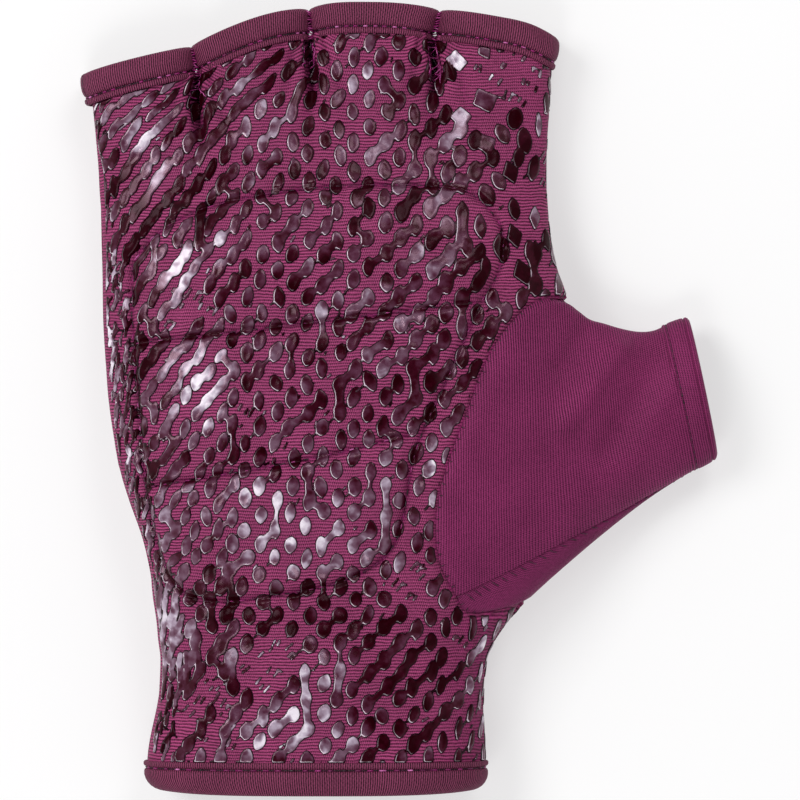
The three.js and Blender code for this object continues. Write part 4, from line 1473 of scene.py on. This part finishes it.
def map_range(tree, value, low, high, to_low=0.0, to_high=1.0):
    """A value between low and high, mapped evenly to another range and held within it."""
    return put(tree, "ShaderNodeMapRange", {0: value, 1: low, 2: high, 3: to_low, 4: to_high})


def attribute(tree, name):
    return put(tree, "ShaderNodeAttribute", output=2, attribute_name=name)


def object_place(tree):
    return put(tree, "ShaderNodeTexCoord", output=3)


def grey(tree, value):
    return put(tree, "ShaderNodeCombineColor", {0: value, 1: value, 2: value})


def bumps(tree, height, distance):
    """Normals of a relief whose height from 0 to 1 is a distance in millimetres."""
    return put(tree, "ShaderNodeBump", {"Height": height, "Distance": distance * MM, "Strength": 1.0})


def colour_ramp(tree, value, stops):
    """Colours along a value from 0 to 1, as stops of a position and an sRGB colour."""
    ramp = tree.nodes.new("ShaderNodeValToRGB")
    while len(ramp.color_ramp.elements) < len(stops):
        ramp.color_ramp.elements.new(0.5)
    for element, (position, shown) in zip(ramp.color_ramp.elements, stops):
        element.position = position
        element.color = colour(*shown)
    tree.links.new(value, ramp.inputs[0])
    return ramp.outputs[0]


def wave_of(tree, value, pitch):
    """A wave from 0 to 1 with one crest in each pitch."""
    sine = put(tree, "ShaderNodeMath", {0: times(tree, value, 2 * math.pi / pitch)}, operation="SINE")
    return map_range(tree, sine, -1.0, 1.0)


def new_material(name):
    material = bpy.data.materials.new(name)
    material.use_nodes = True
    tree = material.node_tree
    shader = tree.nodes["Principled BSDF"]
    return material, tree, shader


def ribbed_cloth(name, dark, light, axis, pitch, cross_pitch, depth, cross, patch=60.0, sheen=0.0, drift=0.8):
    """Knit or tape with ribs across one way of its UV map and stitches along the other."""
    material, tree, shader = new_material(name)
    place = object_place(tree)
    split = tree.nodes.new("ShaderNodeSeparateXYZ")
    tree.links.new(put(tree, "ShaderNodeUVMap", uv_map="cloth"), split.inputs[0])
    across, along = split.outputs[axis], split.outputs[1 - axis]
    across = plus(tree, across, times(tree, noise(tree, place, 300.0), drift))
    rib = wave_of(tree, across, pitch)
    row = put(tree, "ShaderNodeMath", {0: times(tree, across, 1 / pitch)}, operation="FLOOR")
    loops = wave_of(tree, plus(tree, along, times(tree, row, cross_pitch / 2)), cross_pitch)
    patches = map_range(tree, noise(tree, place, patch), 0.4, 0.6, cross[0], cross[1])
    fuzz = noise(tree, place, 2600.0, 3.0)
    crossed = times(tree, plus(tree, rib, loops), 0.5)
    height = put(tree, "ShaderNodeMix", {0: patches, 2: rib, 3: crossed})
    shade = plus(tree, height, times(tree, plus(tree, fuzz, -0.5), 0.6))
    shade = put(tree, "ShaderNodeClamp", {0: shade})
    mottle = grey(tree, map_range(tree, noise(tree, place, 90.0, 4.0), 0.3, 0.7, 0.86, 1.1))
    base = {0: 1.0, 6: blend_colours(tree, shade, colour(*dark), colour(*light)), 7: mottle}
    shown = put(tree, "ShaderNodeMix", base, output=2, data_type="RGBA", blend_type="MULTIPLY")
    # Painted shade: where the crease attribute is set, the knit turns near black with magenta specks.
    specks = map_range(tree, noise(tree, place, 800.0), 0.46, 0.62)
    crease_shade_colour = blend_colours(tree, specks, colour(36, 0, 20), colour(124, 8, 84))
    relief = plus(tree, height, times(tree, fuzz, 0.35))
    set_inputs(tree, shader, {
        "Base Color": blend_colours(tree, attribute(tree, "crease"), shown, crease_shade_colour),
        "Normal": bumps(tree, relief, depth), "Roughness": 0.62, "Specular IOR Level": 0.12,
        "Sheen Weight": sheen, "Sheen Roughness": 0.35, "Sheen Tint": colour(214, 170, 200),
    })
    return material


def film_material():
    """Glossy raised film: dark plum to silver by its tone, with the silver a painted reflection, a painted
    shade rim and a painted highlight fringe.
    """
    material, tree, shader = new_material("print_film")
    place = object_place(tree)
    tone, depth, facing = (attribute(tree, name) for name in ("tone", "depth", "facing"))
    cloud = map_range(tree, noise(tree, place, 500.0, 3.0), 0.3, 0.7, -0.14, 0.12)
    # Painted reflection: darker streaks swirl inside the paler drops.
    reflection_swirl = map_range(tree, noise(tree, place, 420.0, 1.0), 0.36, 0.56, -0.36, 0.08)
    cloud = plus(tree, cloud, times(tree, reflection_swirl, tone))
    # Near black to plum film, and greys to silver that paint its reflections.
    ground = colour_ramp(tree, plus(tree, tone, cloud), [
        (0.0, (34, 0, 6)), (0.16, (52, 4, 20)), (0.34, (80, 40, 60)), (0.55, (112, 84, 102)),
        (0.78, (174, 158, 176)), (1.0, (234, 226, 236)),
    ])
    ragged = times(tree, plus(tree, noise(tree, place, 1500.0), -0.5), 0.12)
    depth = plus(tree, depth, ragged)
    # Painted shade: a dark rim along the steep edge of each drop.
    rim = map_range(tree, depth, 0.14, 0.26, 1.0, 0.0)
    shown = blend_colours(tree, rim, ground, colour(20, 0, 7))
    # Painted highlight: a pale fringe just inside the edges that face the lower left, broken up and faded on
    # dark film.
    inner = map_range(tree, depth, 0.17, 0.23)
    outer = map_range(tree, depth, 0.28, 0.36, 1.0, 0.0)
    turned = map_range(tree, facing, 0.2, 0.7)
    broken = map_range(tree, noise(tree, place, 500.0), 0.36, 0.52, 0.15, 1.0)
    lit = map_range(tree, tone, 0.04, 0.2, 0.25, 1.0)
    fringe = times(tree, times(tree, inner, outer), times(tree, turned, broken))
    set_inputs(tree, shader, {
        "Base Color": blend_colours(tree, times(tree, fringe, lit), shown, colour(222, 208, 220)),
        "Normal": bumps(tree, noise(tree, place, 700.0, 3.0), 0.06), "Roughness": 0.2, "IOR": 1.5,
        "Specular IOR Level": map_range(tree, tone, 0.0, 0.5, 0.07, 0.45),
        "Specular Tint": colour(255, 214, 230),
    })
    return material


def thread_material():
    """Twisted sewing thread, dark to pink by the tone of each stitch."""
    material, tree, shader = new_material("sewing_thread")
    place = object_place(tree)
    grain = map_range(tree, noise(tree, place, 1400.0), 0.3, 0.7, -0.12, 0.12)
    stops = [(0.0, (30, 0, 18)), (0.5, (146, 14, 104)), (1.0, (226, 132, 198))]
    waves = {"Vector": place, "Scale": 900.0, "Distortion": 1.5}
    twist = put(tree, "ShaderNodeTexWave", waves, output=1, bands_direction="DIAGONAL")
    set_inputs(tree, shader, {
        "Base Color": colour_ramp(tree, plus(tree, attribute(tree, "tone"), grain), stops),
        "Normal": bumps(tree, twist, 0.05), "Roughness": 0.4,
    })
    return material


def floor_material():
    material, tree, shader = new_material("pale_floor")
    shade = map_range(tree, noise(tree, object_place(tree), 6.0), 0.0, 1.0, 0.47, 0.49)
    set_inputs(tree, shader, {
        "Base Color": grey(tree, shade), "Roughness": 0.8, "Specular IOR Level": 0.0,
        "Emission Color": (1.0, 1.0, 1.0, 1.0), "Emission Strength": 0.5,
    })
    return material


def build_floor():
    """A plain pale floor just below the glove."""
    half = 3.0
    mesh = bpy.data.meshes.new("floor")
    corners = [(-half, -half, 0), (half, -half, 0), (half, half, 0), (-half, half, 0)]
    mesh.from_pydata(corners, [], [(0, 1, 2, 3)])
    mesh.materials.append(floor_material())
    floor = in_scene("floor", mesh)
    floor.location.z = -0.05 * MM


def build_studio():
    """A soft bright studio with a darker ceiling, and three softboxes aimed at the glove."""
    world = bpy.data.worlds.new("studio")
    bpy.context.scene.world = world
    world.use_nodes = True
    tree = world.node_tree
    split = tree.nodes.new("ShaderNodeSeparateXYZ")
    tree.links.new(put(tree, "ShaderNodeTexCoord"), split.inputs[0])
    strength = map_range(tree, split.outputs[2], 0.74, 0.93, 0.6, 0.08)
    set_inputs(tree, tree.nodes["Background"], {"Strength": strength, "Color": (1.0, 0.985, 1.0, 1.0)})
    for box in SOFTBOXES:
        light = bpy.data.lights.new(box["name"], "AREA")
        light.size = box["size"]
        light.energy = box["power"]
        lamp = in_scene(box["name"], light)
        lamp.location = box["at"]
        lamp.rotation_euler = (-lamp.location.normalized()).to_track_quat("-Z", "Y").to_euler()


def build_camera():
    """A camera straight above the glove, as far off as its lens needs to show the photo's width."""
    lens, sensor, view_width, view_height = 300.0, 36.0, 160 * MM, 12 * MM
    camera_data = bpy.data.cameras.new("camera")
    camera_data.lens = lens
    camera_data.sensor_width = sensor
    camera_data.clip_start = 0.05
    camera_data.clip_end = 20
    camera = in_scene("camera", camera_data)
    camera.location = (0, -0.2 * MM, view_height + view_width * lens / sensor)
    bpy.context.scene.camera = camera
    bpy.context.scene.view_settings.view_transform = "Standard"
    bpy.context.scene.view_settings.look = "None"


def build_stage():
    build_floor()
    build_studio()
    build_camera()


build_stage()

printed = ribbed_cloth(
    "printed_knit", (50, 1, 30), (176, 74, 124),
    axis=1, pitch=0.62, cross_pitch=0.42, depth=0.1, cross=(0.3, 1.0),
)
plain = ribbed_cloth(
    "thumb_knit", (42, 0, 26), (152, 53, 108),
    axis=0, pitch=0.5, cross_pitch=0.36, depth=0.04, cross=(0.35, 1.0), patch=32.0, sheen=0.15, drift=0.3,
)
tape = ribbed_cloth(
    "binding_tape", (20, 0, 8), (144, 66, 100),
    axis=0, pitch=0.46, cross_pitch=0.9, depth=0.09, cross=(0.1, 0.4), drift=0.3,
)
film = film_material()
thread = thread_material()

palm = hand_cloth("palm_cloth", 1, PALM_CELLS, PALM_HOLE, printed)
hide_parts("palm_panel")

back = hand_cloth("back_cloth", -1, BACK_CELLS, BACK_HOLE, printed)
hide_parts("back_panel")

front = thumb_cloth("thumb_front_cloth", THUMB_FRONT, THUMB_FRONT_CELLS, plain, front_ribs)
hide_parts("thumb_front_panel")
rear = thumb_cloth("thumb_back_cloth", THUMB_BACK, THUMB_BACK_CELLS, plain, back_ribs)
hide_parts("thumb_back_panel")

bands, band_threads = [], []
for number, finger in enumerate(FINGERS):
    section = finger_section(finger)
    name = "finger_binding_" + finger["name"]
    band = band_mesh(name + "_tape", FINGER_STEPS, TAPE_PROFILE, TAPE_FACE, section, tape)
    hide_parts(name)
    bands.append(band)
    band_threads += band_stitches(section, LIP_STITCH, 0.1, TAPE_STITCH, 40 + number)
    band_threads += tape_join(section) if number == 0 else []
cuff = band_mesh("cuff_tape", CUFF_STEPS, TAPE_PROFILE, TAPE_FACE, cuff_section, tape)
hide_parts("cuff_binding")
bands.append(cuff)
band_threads += band_stitches(cuff_section, LIP_STITCH, 0.1, CUFF_STITCH, 44)
hem = band_mesh(
    "thumb_hem_cloth", HEM_STEPS, HEM_PROFILE, HEM_FACE, hem_section, plain, lengthwise=True
)
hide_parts("thumb_hem")
hem_threads = band_stitches(hem_section, HEM_STITCH, -0.12, HEM_STITCH_LOOK, 45)

palm_print = palm_groups()
for name, upper in (("palm_film_upper", True), ("palm_film_lower", False)):
    part = [group for group in palm_print if (group["shapes"][0]["y"] > FILM_PART_Y) == upper]
    film_piece(name, 1, FILM_CELL, part, PALM_HOLE, film)
film_piece("back_film", -1, BACK_FILM_CELL, back_groups(), BACK_HOLE, film)

for name, stitches in (
    ("palm_stitches", palm_stitches()),
    ("band_stitches", band_threads),
    ("thumb_stitches", hem_threads + seam_ticks() + lower_seam_ticks()),
    ("tack_threads", tack_threads()),
):
    points, polygons, values = thread_mesh(stitches)
    add_piece(name, points, polygons, thread, values=values, crease=180)
